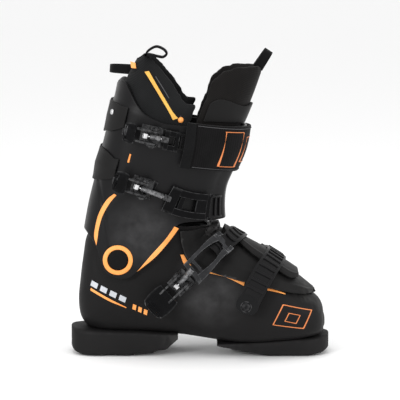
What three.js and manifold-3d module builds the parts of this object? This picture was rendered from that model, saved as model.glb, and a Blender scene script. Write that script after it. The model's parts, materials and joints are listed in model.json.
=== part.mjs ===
// A right alpine ski boot: a hollow lower shell with an overlapping instep, a cuff that flexes about two
// ankle pivots, four over-centre buckles, a power strap and a padded liner.
// Millimetres. +X points to the toe, +Y to the inner side of the foot, +Z up. The origin is on the ground
// under the middle of the sole.
import * as THREE from "three";
import { mergeVertices } from "three/addons/utils/BufferGeometryUtils.js";
import Module from "manifold-3d";

const wasm = await Module();
wasm.setup();

// ---------------------------------------------------------------- driving dimensions
const SOLE_LENGTH = 305; // heel to toe of the sole, a 26.5 boot
const FOREFOOT_WIDTH = 108; // shell at the ball of the foot
const BOOT_HEIGHT = 326; // ground to the rear top of the cuff

const SHELL_WALL = 5;
const CUFF_WALL = 4;
const FLAP_THICKNESS = 5.5;
const LINER_FOAM = 8;
const TONGUE_FOAM = 9;
const GAP = 0.35; // between pieces that rest on each other
const LINER_GAP = 0.6; // between the liner and the plastic round it

const SOLE_WIDTH = 70;
const HEEL_BLOCK_HEIGHT = 32;
const TOE_BLOCK_HEIGHT = 23;
const SCREW_HEAD_RADIUS = 4.2;
const SCREW_SHANK_RADIUS = 2.2;
const SCREW_HEAD_DEPTH = 3;
const SCREW_GRIP = 4; // how far a sole screw reaches into the shell

const PIVOT_BOLT_RADIUS = 5;
const PIVOT_FLANGE_RADIUS = 9;
const PIVOT_FLANGE_THICKNESS = 2.2;
const PIVOT_RING_OUTER = 17.4;
const PIVOT_RING_INNER = 12.3;
const PIVOT_RING_THICKNESS = 2.4;

const STRAP_THICKNESS = 3.6;
const LOOP_THICKNESS = 2.2;

const LEVER_THICKNESS = 3;
const LEVER_ARM_HEIGHT = 9.5; // a lever's fork arm, across the hinge
const PIVOT_HEIGHT = 12; // a buckle's hinge above the plastic it is riveted to
const HINGE_RADIUS = 2;
const HINGE_CLEARANCE = 0.35;
const EAR_THICKNESS = 2.4;
const BASE_THICKNESS = 1.8;
const THROW = 9; // hinge to bail pin along a closed lever
const THROW_DROP = 3; // bail pin below the hinge, past centre
const SLEEVE_SIZE = 6;
const ROD_RADIUS = 1.7;
const BAIL_THICKNESS = 2.6;
const BAIL_ARM_WIDTH = 6;
const TOOTH_PITCH = 8;
const TOOTH_HEIGHT = 2.6;
const LADDER_THICKNESS = 2;
const HOOK_CLEARANCE = 0.7; // a bail's hook over the ladder between two teeth
const RIVET_RADIUS = 4.5;
const RIVET_HEIGHT = 1.6;

// The outlines below are drawn for a boot of these sizes and stretched to the driving ones.
const DRAWN = { length: 305, width: 108, height: 326 };
const STRETCH = {
  x: SOLE_LENGTH / DRAWN.length,
  y: FOREFOOT_WIDTH / DRAWN.width,
  z: BOOT_HEIGHT / DRAWN.height,
};

/** A point of the side view, X forward and Z up, stretched to the boot's size. */
const side = (x, z) => new THREE.Vector2(x * STRETCH.x, z * STRETCH.z);

const PIVOT = side(-95, 118);
const AROUND = 20; // facets round a form

// ---------------------------------------------------------------- lofted forms
/**
 * One cross-section of a form: it runs from a back point to a front point of the side view and bulges to
 * half its width on either side. `mid` is where it is widest, from back to front; `frontPower` and
 * `backPower` square its ends; `nose` says how far an inset moves it back along the foot instead of in.
 */
function section(front, back, half, { mid = 0.5, frontPower = 2.4, backPower = 2.4, nose = 0 } = {}) {
  return { front, back, half: half * STRETCH.y, mid, frontPower, backPower, nose };
}

/** A smooth form through a row of sections, addressed by a place along the row and an angle round it. */
class Form {
  constructor(sections) {
    this.sections = sections;
    this.last = sections.length - 1;
  }

  /** The section at a place along the row, blended smoothly between its neighbours. */
  sectionAt(place) {
    const s = THREE.MathUtils.clamp(place, 0, this.last);
    const i = Math.min(Math.floor(s), this.last - 1);
    const t = s - i;
    const near = [-1, 0, 1, 2].map((k) => this.sections[THREE.MathUtils.clamp(i + k, 0, this.last)]);
    const blend = (pick) => {
      const [a, b, c, d] = near.map(pick);
      const slopes = [(c - a) / 2, (d - b) / 2];
      const values = (2 * t ** 3 - 3 * t ** 2 + 1) * b + (3 * t ** 2 - 2 * t ** 3) * c;
      return values + (t ** 3 - 2 * t ** 2 + t) * slopes[0] + (t ** 3 - t ** 2) * slopes[1];
    };
    return {
      front: new THREE.Vector2(blend((q) => q.front.x), blend((q) => q.front.y)),
      back: new THREE.Vector2(blend((q) => q.back.x), blend((q) => q.back.y)),
      half: blend((q) => q.half),
      mid: blend((q) => q.mid),
      frontPower: blend((q) => q.frontPower),
      backPower: blend((q) => q.backPower),
    };
  }

  /** The surface point at an angle in degrees: 0 at the back, 90 on the outer side, 180 at the front. */
  point(place, degrees) {
    const q = this.sectionAt(place);
    const a = THREE.MathUtils.degToRad(degrees);
    const power = 2 / (Math.cos(a) > 0 ? q.backPower : q.frontPower);
    const along = -Math.sign(Math.cos(a)) * Math.abs(Math.cos(a)) ** power;
    const across = -Math.sign(Math.sin(a)) * Math.abs(Math.sin(a)) ** power;
    const share = along < 0 ? q.mid * (1 + along) : q.mid + (1 - q.mid) * along;
    const p = q.back.clone().lerp(q.front, share);
    return new THREE.Vector3(p.x, across * q.half, p.y);
  }

  /** The outward normal there. */
  normal(place, degrees) {
    const step = 0.02;
    const along = this.point(place + step, degrees).sub(this.point(place - step, degrees));
    const round = this.point(place, degrees + 2).sub(this.point(place, degrees - 2));
    const n = along.cross(round).normalize();
    const q = this.sectionAt(place);
    const middle = q.back.clone().lerp(q.front, q.mid);
    const out = this.point(place, degrees).sub(new THREE.Vector3(middle.x, 0, middle.y));
    return n.dot(out) < 0 ? n.negate() : n;
  }

  /** The place and angle of the surface point seen at (x, z) from a side: -1 the outer, 1 the inner. */
  seenAt(p, sideSign) {
    const off = (s) => {
      const q = this.sectionAt(s);
      const d = q.front.clone().sub(q.back);
      return d.x * (p.y - q.back.y) - d.y * (p.x - q.back.x);
    };
    let [low, high] = [0, this.last];
    const rising = off(high) < off(low);
    for (let i = 0; i < 40; i++) {
      const s = (low + high) / 2;
      if (off(s) > 0 === rising) low = s;
      else high = s;
    }
    const q = this.sectionAt(low);
    const d = q.front.clone().sub(q.back);
    const share = p.clone().sub(q.back).dot(d) / d.lengthSq();
    const fromMiddle = share < q.mid ? share / q.mid - 1 : (share - q.mid) / (1 - q.mid);
    const along = THREE.MathUtils.clamp(fromMiddle, -1, 1);
    const cosine = -Math.sign(along) * Math.abs(along) ** ((along < 0 ? q.backPower : q.frontPower) / 2);
    const degrees = THREE.MathUtils.radToDeg(Math.acos(cosine));
    return [low, sideSign < 0 ? degrees : 360 - degrees];
  }

  /** The same form with its surface moved in by a depth. */
  inset(depth) {
    return new Form(
      this.sections.map((q) => {
        const d = q.front.clone().sub(q.back).normalize();
        const inward = depth * (1 - q.nose);
        const shift = new THREE.Vector2(-depth * q.nose, 0);
        return {
          ...q,
          front: q.front.clone().addScaledVector(d, -inward).add(shift),
          back: q.back.clone().addScaledVector(d, inward).add(shift),
          half: q.half - inward,
        };
      }),
    );
  }

  /** A closed solid between two places along the row. */
  solid(around = AROUND, from = 0, to = this.last, rows = Math.round(to - from)) {
    const positions = [];
    for (let i = 0; i <= rows; i++)
      for (let j = 0; j < around; j++)
        positions.push(...this.point(from + ((to - from) * i) / rows, (360 * (j + 0.5)) / around));
    const index = [];
    for (let i = 0; i < rows; i++)
      for (let j = 0; j < around; j++) {
        const [a, b] = [i * around + j, i * around + ((j + 1) % around)];
        index.push(a, b, a + around, b, b + around, a + around);
      }
    for (let j = 1; j < around - 1; j++) {
      index.push(0, j + 1, j);
      const top = rows * around;
      index.push(top, top + j, top + j + 1);
    }
    return facingOut(indexed(positions, index));
  }
}

/** Triangles of a slab made of two stacked grids: the lower, the upper and the walls between. */
function shellIndex(countP, countQ) {
  const row = countQ + 1;
  const layer = (countP + 1) * row;
  const index = [];
  const quad = (a, b, c, d) => index.push(a, b, c, a, c, d);
  const at = (i, j, k) => k * layer + i * row + j;
  for (let i = 0; i < countP; i++)
    for (let j = 0; j < countQ; j++) {
      quad(at(i, j, 0), at(i, j + 1, 0), at(i + 1, j + 1, 0), at(i + 1, j, 0));
      quad(at(i, j, 1), at(i + 1, j, 1), at(i + 1, j + 1, 1), at(i, j + 1, 1));
    }
  for (let i = 0; i < countP; i++) {
    quad(at(i, 0, 0), at(i + 1, 0, 0), at(i + 1, 0, 1), at(i, 0, 1));
    quad(at(i, countQ, 0), at(i, countQ, 1), at(i + 1, countQ, 1), at(i + 1, countQ, 0));
  }
  for (let j = 0; j < countQ; j++) {
    quad(at(0, j, 0), at(0, j, 1), at(0, j + 1, 1), at(0, j + 1, 0));
    quad(at(countP, j, 0), at(countP, j + 1, 0), at(countP, j + 1, 1), at(countP, j, 1));
  }
  return index;
}

function indexed(positions, index) {
  return new THREE.BufferGeometry()
    .setAttribute("position", new THREE.Float32BufferAttribute(positions, 3))
    .setIndex(index);
}

// ---------------------------------------------------------------- solids
/** A manifold solid from a closed three.js geometry. */
function solidOf(geometry, matrix) {
  const bare = new THREE.BufferGeometry().setAttribute("position", geometry.attributes.position.clone());
  bare.setIndex(geometry.index);
  const merged = mergeVertices(bare, 1e-4);
  if (matrix) merged.applyMatrix4(matrix);
  return new wasm.Manifold(
    new wasm.Mesh({
      numProp: 3,
      vertProperties: merged.attributes.position.array,
      triVerts: new Uint32Array(merged.index.array),
    }),
  );
}

/** A solid from a geometry whose faces may all be turned in. */
function facingOut(geometry) {
  const made = solidOf(geometry);
  if (made.volume() > 0) return made;
  const index = geometry.index.array;
  for (let i = 0; i < index.length; i += 3) [index[i + 1], index[i + 2]] = [index[i + 2], index[i + 1]];
  return solidOf(geometry);
}

const FACET_TOLERANCE = 0.04; // slivers thinner than this are closed up

function geometryOf(solid) {
  const m = solid.simplify(FACET_TOLERANCE).getMesh();
  const flat = new THREE.BufferGeometry()
    .setAttribute("position", new THREE.BufferAttribute(new Float32Array(m.vertProperties), 3))
    .setIndex(new THREE.BufferAttribute(new Uint32Array(m.triVerts), 1))
    .toNonIndexed();
  flat.computeVertexNormals();
  return flat;
}

/** A box between two corners. */
function box(low, high) {
  const size = high.map((v, i) => v - low[i]);
  const middle = high.map((v, i) => (v + low[i]) / 2);
  return solidOf(new THREE.BoxGeometry(...size).translate(...middle));
}

/** A rod of round or ring section along Y between two places, centred on a point of the side view. */
function alongY(centre, radius, from, to, { inner = 0, sides = 24 } = {}) {
  const [low, high] = [Math.min(from, to), Math.max(from, to)];
  const profile = [
    [inner, low],
    [radius, low],
    [radius, high],
    [inner, high],
    [inner, low],
  ].map(([r, h]) => new THREE.Vector2(r, h));
  const lathe = new THREE.LatheGeometry(inner ? profile : profile.slice(0, 4), sides);
  return facingOut(mergeVertices(lathe.deleteAttribute("normal").deleteAttribute("uv"), 1e-4)
    .translate(centre.x, 0, centre.y));
}

/** A prism of an outline drawn in X and Z, cut through the whole width of the boot. */
function acrossBoot(points, halfWidth = 200) {
  const shape = new THREE.Shape(points);
  const prism = new THREE.ExtrudeGeometry(shape, { depth: 2 * halfWidth, bevelEnabled: false });
  return solidOf(prism.translate(0, 0, -halfWidth).rotateX(Math.PI / 2));
}

/** A prism of an outline drawn in two axes, standing on the third between two heights. */
function standing(points, low, high) {
  const shape = new THREE.Shape(points);
  const prism = new THREE.ExtrudeGeometry(shape, { depth: high - low, bevelEnabled: false });
  return solidOf(prism.translate(0, 0, low));
}

const cut = (solid, ...tools) => tools.reduce((made, tool) => made.subtract(tool), solid);
const join = (solid, ...others) => others.reduce((made, other) => made.add(other), solid);
/** The largest connected piece, without slivers that a cut leaves loose. */
const largest = (solid) => solid.decompose().reduce((a, b) => (b.volume() > a.volume() ? b : a));

// ---------------------------------------------------------------- materials
const material = (metalness) => (color, roughness) =>
  new THREE.MeshStandardMaterial({ color, roughness, metalness });
const plastic = material(0);
const metal = material(0.9);
const MATERIAL = {
  shell: plastic(0x1c1b1c, 0.55),
  flap: plastic(0x222122, 0.6),
  cuff: plastic(0x1b1b1c, 0.5),
  sole: plastic(0x262626, 0.75),
  trim: plastic(0xe8873a, 0.45),
  buckle: metal(0x2b2c2e, 0.4),
  steel: metal(0xb9bbbd, 0.25),
  liner: plastic(0x17181a, 0.9),
  webbing: plastic(0x121214, 0.95),
  board: plastic(0x3a3a3c, 0.8),
};

const boot = new THREE.Group();
const cuffGroup = new THREE.Group();
cuffGroup.name = "cuff_group";
boot.add(cuffGroup);

function place(group, name, solid, material) {
  const mesh = new THREE.Mesh(geometryOf(solid), material);
  mesh.name = name;
  group.add(mesh);
  return mesh;
}

// ---------------------------------------------------------------- forms of the boot
const TOE = { mid: 0.4, frontPower: 2.2, backPower: 3.4 };
const HEEL = { mid: 0.44, frontPower: 2.6, backPower: 2.8 };
const shellForm = new Form([
  section(side(146, 47), side(146, 31), 13, { ...TOE, nose: 1 }),
  section(side(145, 56), side(145, 27), 23, { ...TOE, nose: 0.85 }),
  section(side(140, 65), side(140, 24), 34, { ...TOE, nose: 0.55 }),
  section(side(129, 74), side(131, 22), 43, { ...TOE, nose: 0.25 }),
  section(side(111, 88.5), side(114, 19), 49.5, { ...TOE, nose: 0.08 }),
  section(side(91, 102), side(92, 17), 53, TOE),
  section(side(70, 115), side(68, 15), 54, TOE),
  section(side(50, 126), side(40, 15), 51.5, TOE),
  section(side(36, 134), side(10, 19), 48, TOE),
  section(side(28, 140), side(-22, 23), 45.5, { ...TOE, backPower: 3 }),
  section(side(22, 143), side(-55, 25), 43.5, { mid: 0.42, frontPower: 2.6, backPower: 3 }),
  section(side(18, 146), side(-90, 25), 42, HEEL),
  section(side(15, 148), side(-122, 28), 41.5, HEEL),
  section(side(14, 149), side(-139, 40), 41.5, HEEL),
  section(side(13, 150), side(-143.5, 62), 41.5, HEEL),
  section(side(13, 151), side(-141, 92), 41.5, HEEL),
  section(side(13, 151.5), side(-137.5, 118), 41.5, HEEL),
  section(side(13, 152), side(-134, 138), 41.5, HEEL),
  section(side(13, 152.5), side(-127, 149), 41, HEEL),
  section(side(13, 153), side(-121, 163), 40.5, HEEL),
]);

const CALF = { mid: 0.42, frontPower: 2.3, backPower: 2.7 };
const ANKLE = { mid: 0.41, frontPower: 2.7, backPower: 3.1 };
const cuffForm = new Form([
  section(side(40, 84), side(-146, 84), 50, ANKLE),
  section(side(34, 118), side(-142, 120), 50, ANKLE),
  section(side(28, 146), side(-137, 148), 50.5, ANKLE),
  section(side(25, 172), side(-131, 180), 51.5, { mid: 0.42, frontPower: 2.5, backPower: 2.9 }),
  section(side(27, 198), side(-123, 212), 53.5, CALF),
  section(side(36, 221), side(-115, 245), 56, CALF),
  section(side(45, 243), side(-107.5, 275), 58.5, CALF),
  section(side(50, 266), side(-101, 305), 60, CALF),
  section(side(53, 290), side(-95, 334), 61, CALF),
]);

/** The form that the liner's cuff and tongue fill, from the ankle to the collar. */
const shaftForm = new Form([
  section(side(-4, 128), side(-124, 104), 33, HEEL),
  section(side(-2, 154), side(-119, 138), 33, HEEL),
  section(side(2, 172), side(-115, 166), 34, HEEL),
  section(side(20, 200), side(-116, 208), 46, CALF),
  section(side(31, 222), side(-109, 243), 50.5, CALF),
  section(side(41, 244), side(-102, 274), 53, CALF),
  section(side(47, 266), side(-95.5, 304), 54.5, CALF),
  section(side(56, 288), side(-88, 330), 54, CALF),
  section(side(64, 308), side(-80, 348), 51, CALF),
  section(side(76, 342), side(-72, 366), 48, CALF),
]);

// ---------------------------------------------------------------- working on a form
/** A skin between two heights over a form, inside an outline of the side view, kept to y <= inner. */
function panel(form, outline, low, high, inner = 200) {
  const skin = cut(form.inset(-high).solid(), form.inset(-low).solid());
  const kept = skin.intersect(acrossBoot(outline));
  return largest(inner < 200 ? kept.intersect(box([-400, -200, -50], [400, inner, 500])) : kept);
}

/** A curve laid on a form, measured in millimetres from its first stop; stops are places and angles. */
class Track {
  constructor(form, stops) {
    this.form = form;
    this.curve = new THREE.SplineCurve(stops.map(([place, degrees]) => new THREE.Vector2(place, degrees)));
    this.lengths = [0];
    this.samples = 96;
    for (let i = 1; i <= this.samples; i++) {
      const span = this.spot(i / this.samples).distanceTo(this.spot((i - 1) / this.samples));
      this.lengths.push(this.lengths.at(-1) + span);
    }
  }

  spot(u) {
    const at = this.curve.getPoint(u);
    return this.form.point(at.x, at.y);
  }

  get length() {
    return this.lengths.at(-1);
  }

  /** The share of the curve at a distance along it. */
  share(distance) {
    const d = THREE.MathUtils.clamp(distance, 0, this.length);
    const i = Math.max(1, this.lengths.findIndex((v) => v >= d));
    return (i - 1 + (d - this.lengths[i - 1]) / (this.lengths[i] - this.lengths[i - 1])) / this.samples;
  }

  /** The frame on the surface at a distance: X along the track, Y across it, Z outward. */
  frame(distance) {
    const u = this.share(distance);
    const at = this.curve.getPoint(u);
    const ahead = this.spot(Math.min(u + 0.01, 1)).sub(this.spot(Math.max(u - 0.01, 0)));
    const out = this.form.normal(at.x, at.y);
    const across = out.clone().cross(ahead).normalize();
    const along = across.clone().cross(out);
    return new THREE.Matrix4().makeBasis(along, across, out).setPosition(this.form.point(at.x, at.y));
  }

  /** The point at a distance along, so far across and so high over the form. */
  over(distance, across, height) {
    return new THREE.Vector3(0, across, height).applyMatrix4(this.frame(distance));
  }

  /** A flat band along the track; `low` and `high` are heights, or functions of the share of its run. */
  band(from, to, halfWidth, low, high, steps = 10) {
    const value = (v, t) => (typeof v === "function" ? v(t) : v);
    const positions = [];
    for (const height of [low, high])
      for (let i = 0; i <= steps; i++)
        for (const across of [-halfWidth, halfWidth]) {
          const p = this.over(from + ((to - from) * i) / steps, across, value(height, i / steps));
          positions.push(p.x, p.y, p.z);
        }
    return facingOut(indexed(positions, shellIndex(steps, 1)));
  }
}

const outerSide = (form, x, z) => form.seenAt(side(x, z), -1);
const innerSide = (form, x, z) => form.seenAt(side(x, z), 1);

/** A round bar, tube or hexagon between two points. */
function bar(from, to, radius, { inner = 0, sides = 12 } = {}) {
  const length = from.distanceTo(to);
  const profile = [
    [inner, 0],
    [radius, 0],
    [radius, length],
    [inner, length],
  ].map(([r, h]) => new THREE.Vector2(r, h));
  if (inner) profile.push(profile[0].clone());
  const turn = new THREE.Quaternion().setFromUnitVectors(
    new THREE.Vector3(0, 1, 0),
    to.clone().sub(from).normalize(),
  );
  const matrix = new THREE.Matrix4().makeRotationFromQuaternion(turn).setPosition(from);
  const lathe = new THREE.LatheGeometry(profile, sides);
  lathe.deleteAttribute("normal");
  lathe.deleteAttribute("uv");
  return facingOut(mergeVertices(lathe.applyMatrix4(matrix), 1e-4));
}

// ---------------------------------------------------------------- lower shell, instep and sole
/** A sole block seen from below: rounded at one end, square at the other. */
function soleOutline(roundEnd, squareEnd, halfWidth, depth) {
  const direction = Math.sign(roundEnd - squareEnd);
  const corners = 8;
  const points = [];
  for (let i = 0; i <= corners; i++) {
    const a = -Math.PI / 2 + (Math.PI * i) / corners;
    points.push(new THREE.Vector2(roundEnd - direction * depth * (1 - Math.cos(a)), halfWidth * Math.sin(a)));
  }
  return [...points, new THREE.Vector2(squareEnd, halfWidth), new THREE.Vector2(squareEnd, -halfWidth)];
}

const SCREW_SEAT = 3; // from the ground to the underside of a sole screw's head
const heelScrews = [-118, -62].map((x) => side(x, 0).x);
const toeScrews = [62, 112].map((x) => side(x, 0).x);

/** A sole screw, or with an allowance its hole; it reaches a grip past the shell's underside. */
function soleScrew(x, shellUnderside, allowance = 0) {
  const at = (z) => new THREE.Vector3(x, 0, z);
  const neck = SCREW_SEAT + SCREW_HEAD_DEPTH;
  return join(
    bar(at(SCREW_SEAT), at(neck), SCREW_HEAD_RADIUS + allowance),
    bar(at(neck - 1), at(shellUnderside + SCREW_GRIP), SCREW_SHANK_RADIUS + allowance, { sides: 8 }),
  );
}
const counterbore = (x) =>
  bar(new THREE.Vector3(x, 0, -1), new THREE.Vector3(x, 0, SCREW_SEAT + 1), SCREW_HEAD_RADIUS + GAP);

/** The height of the shell's underside at a place along the foot. */
function underside(x) {
  const [place] = shellForm.seenAt(new THREE.Vector2(x, 20), -1);
  return shellForm.sectionAt(place).back.y;
}

const shellInside = shellForm.inset(SHELL_WALL);
const shellMouth = shellInside.sections.at(-1);
const cavity = new Form([
  ...shellInside.sections,
  { ...shellMouth, front: side(11, 190), back: side(-114, 200) },
]);
const THROAT_WIDTH = 34;
const THROAT_TIP = 12;
const throatSide = [[98, THROAT_TIP / 2], [62, THROAT_WIDTH / 2], [-20, THROAT_WIDTH / 2]];
const throatPoint = ([x, y]) => new THREE.Vector2(side(x, 0).x, y);
const throatOther = throatSide.toReversed().map(([x, y]) => throatPoint([x, -y]));
const throat = standing(
  [...throatSide.map(throatPoint), ...throatOther].reverse(),
  side(0, 90).y,
  side(0, 260).y,
);
const aboveShell = acrossBoot([
  side(-200, 152), side(-127, 152), side(20, 141), side(60, 141), side(60, 300), side(-200, 300),
]);
const pivotHole = alongY(PIVOT, PIVOT_BOLT_RADIUS + GAP, -100, 100, { sides: 16 });
const boltEnds = (x) => soleScrew(x, underside(x), GAP);
place(
  boot,
  "lower_shell",
  largest(cut(shellForm.solid(), cavity.solid(), throat, aboveShell, pivotHole,
    ...heelScrews.map(boltEnds), ...toeScrews.map(boltEnds))),
  MATERIAL.shell,
);

const shellClear = shellForm.inset(-GAP).solid();
const heelBlock = cut(
  standing(soleOutline(-SOLE_LENGTH / 2, side(-26, 0).x, SOLE_WIDTH / 2, 34), 0, HEEL_BLOCK_HEIGHT),
  shellClear,
  ...heelScrews.flatMap((x) => [boltEnds(x), counterbore(x)]),
  acrossBoot([side(-45, -5), side(-45, 0), side(-20, 26), side(0, 26), side(0, -5)]),
);
const toeBlock = cut(
  standing(soleOutline(SOLE_LENGTH / 2, side(20, 0).x, SOLE_WIDTH / 2, 34), 0, TOE_BLOCK_HEIGHT),
  shellClear,
  ...toeScrews.flatMap((x) => [boltEnds(x), counterbore(x)]),
  acrossBoot([side(60, -5), side(60, 0), side(15, 12), side(0, 12), side(0, -5)]),
  acrossBoot([side(134, -5), side(134, 0), side(153, 7), side(160, 7), side(160, -5)]),
);
place(boot, "heel_sole_block", largest(heelBlock), MATERIAL.sole);
place(boot, "toe_sole_block", largest(toeBlock), MATERIAL.sole);
for (const [name, places] of [["heel", heelScrews], ["toe", toeScrews]])
  places.forEach((x, i) => {
    place(boot, `${name}_sole_screw_${i + 1}`, soleScrew(x, underside(x)), MATERIAL.steel);
  });

const FLAP_INNER_EDGE = 22; // how far the instep flaps lap over to the inner side
const lowerFlap = [
  side(-22, 170), side(-22, 128), side(-10, 114), side(14, 101), side(51, 90), side(77, 84), side(98, 78),
  side(130, 70), side(133, 90), side(80, 140), side(34, 160),
];
const upperFlap = [
  side(22, 170), side(26, 124), side(60, 106), side(84, 93), side(98, 84), side(104, 88), side(106, 120),
];
const FLAP_RISE = FLAP_THICKNESS + GAP;
const FLAP_LAP = FLAP_INNER_EDGE * STRETCH.y;
const flapPanel = (outline, layer) =>
  panel(shellForm, outline, layer * FLAP_RISE + GAP, (layer + 1) * FLAP_RISE, FLAP_LAP);
const belowCuff = acrossBoot([side(-80, 147), side(60, 147), side(60, 300), side(-80, 300)]);
place(boot, "instep_lower_flap", largest(cut(flapPanel(lowerFlap, 0), belowCuff)), MATERIAL.flap);
place(boot, "instep_upper_flap", largest(cut(flapPanel(upperFlap, 1), belowCuff)), MATERIAL.flap);

// ---------------------------------------------------------------- cuff and ankle pivots
const cuffOutline = [
  side(-160, 152), side(-135.6, 151), side(-120, 133), side(-115.6, 118), side(-108, 103), side(-94.5, 95.4),
  side(-80, 96.6), side(-73, 103.7), side(-54.5, 121.5), side(-27.5, 154.6), side(-22, 161), side(60, 161),
  side(80, 200), side(80, 272), side(-41.6, 276.7), side(-60, 286), side(-69, 294.5), side(-79.5, 313),
  side(-90, 326), side(-160, 326),
];
const cuffBore = cuffForm.inset(CUFF_WALL);
const CUFF_SLOT = 16;
const cuffSkin = cut(cuffForm.solid(), cuffBore.solid()).intersect(acrossBoot(cuffOutline));
place(
  cuffGroup,
  "cuff",
  largest(cut(cuffSkin, pivotHole, box([0, -CUFF_SLOT / 2, 0], [200, CUFF_SLOT / 2, 500]))),
  MATERIAL.cuff,
);

/** Half the widths of a form at spots round the ankle pivot, out to a radius. */
function widthsAtPivot(form, radius) {
  const spots = [PIVOT];
  for (let a = 0; a < 2 * Math.PI; a += Math.PI / 6)
    spots.push(PIVOT.clone().add(new THREE.Vector2(radius * Math.cos(a), radius * Math.sin(a))));
  return spots.map((p) => Math.abs(form.point(...form.seenAt(p, -1)).y));
}

for (const [name, sideSign] of [["outer", -1], ["inner", 1]]) {
  const shellFace = Math.min(...widthsAtPivot(shellInside, PIVOT_FLANGE_RADIUS));
  const cuffFace = Math.max(...widthsAtPivot(cuffForm, PIVOT_RING_OUTER * 0.7));
  const y = (v) => sideSign * v;
  place(
    boot,
    `pivot_bolt_${name}`,
    join(
      alongY(PIVOT, PIVOT_FLANGE_RADIUS, y(shellFace - 0.6), y(shellFace - 0.6 - PIVOT_FLANGE_THICKNESS)),
      alongY(PIVOT, PIVOT_BOLT_RADIUS, y(shellFace - 1), y(cuffFace + GAP), { sides: 16 }),
    ),
    MATERIAL.steel,
  );
  place(
    cuffGroup,
    `pivot_ring_${name}`,
    alongY(PIVOT, PIVOT_RING_OUTER, y(cuffFace + GAP), y(cuffFace + GAP + PIVOT_RING_THICKNESS),
      { inner: PIVOT_RING_INNER, sides: 32 }),
    MATERIAL.trim,
  );
  place(
    cuffGroup,
    `pivot_cap_${name}`,
    alongY(PIVOT, PIVOT_RING_INNER - GAP, y(cuffFace + 2 * GAP),
      y(cuffFace + GAP + PIVOT_RING_THICKNESS - 0.8), { sides: 28 }),
    MATERIAL.shell,
  );
}

// ---------------------------------------------------------------- trim on the cuff
const YOKE_THICKNESS = 3;
const yokeOutline = [
  side(-160, 207), side(-108, 209), side(-96, 216), side(-96, 238), side(-106, 246), side(-160, 243),
];
place(cuffGroup, "spine_yoke", panel(cuffForm, yokeOutline, GAP, YOKE_THICKNESS), MATERIAL.flap);
const anchorOutline = [
  side(-160, 264), side(-95, 264), side(-84, 274), side(-84, 294), side(-94, 301), side(-160, 300),
];
const ANCHOR_THICKNESS = 3;
place(cuffGroup, "strap_anchor", panel(cuffForm, anchorOutline, GAP, GAP + ANCHOR_THICKNESS), MATERIAL.flap);
const anchorSpot = outerSide(cuffForm, -98, 288);
const anchorOut = cuffForm.normal(...anchorSpot);
const anchorAt = (height) => cuffForm.point(...anchorSpot).addScaledVector(anchorOut, height);
const anchorTop = GAP + ANCHOR_THICKNESS + GAP;
const anchorScrew = bar(anchorAt(anchorTop), anchorAt(anchorTop + 1.6), 3.4);
place(cuffGroup, "strap_anchor_screw", anchorScrew, MATERIAL.steel);

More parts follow.
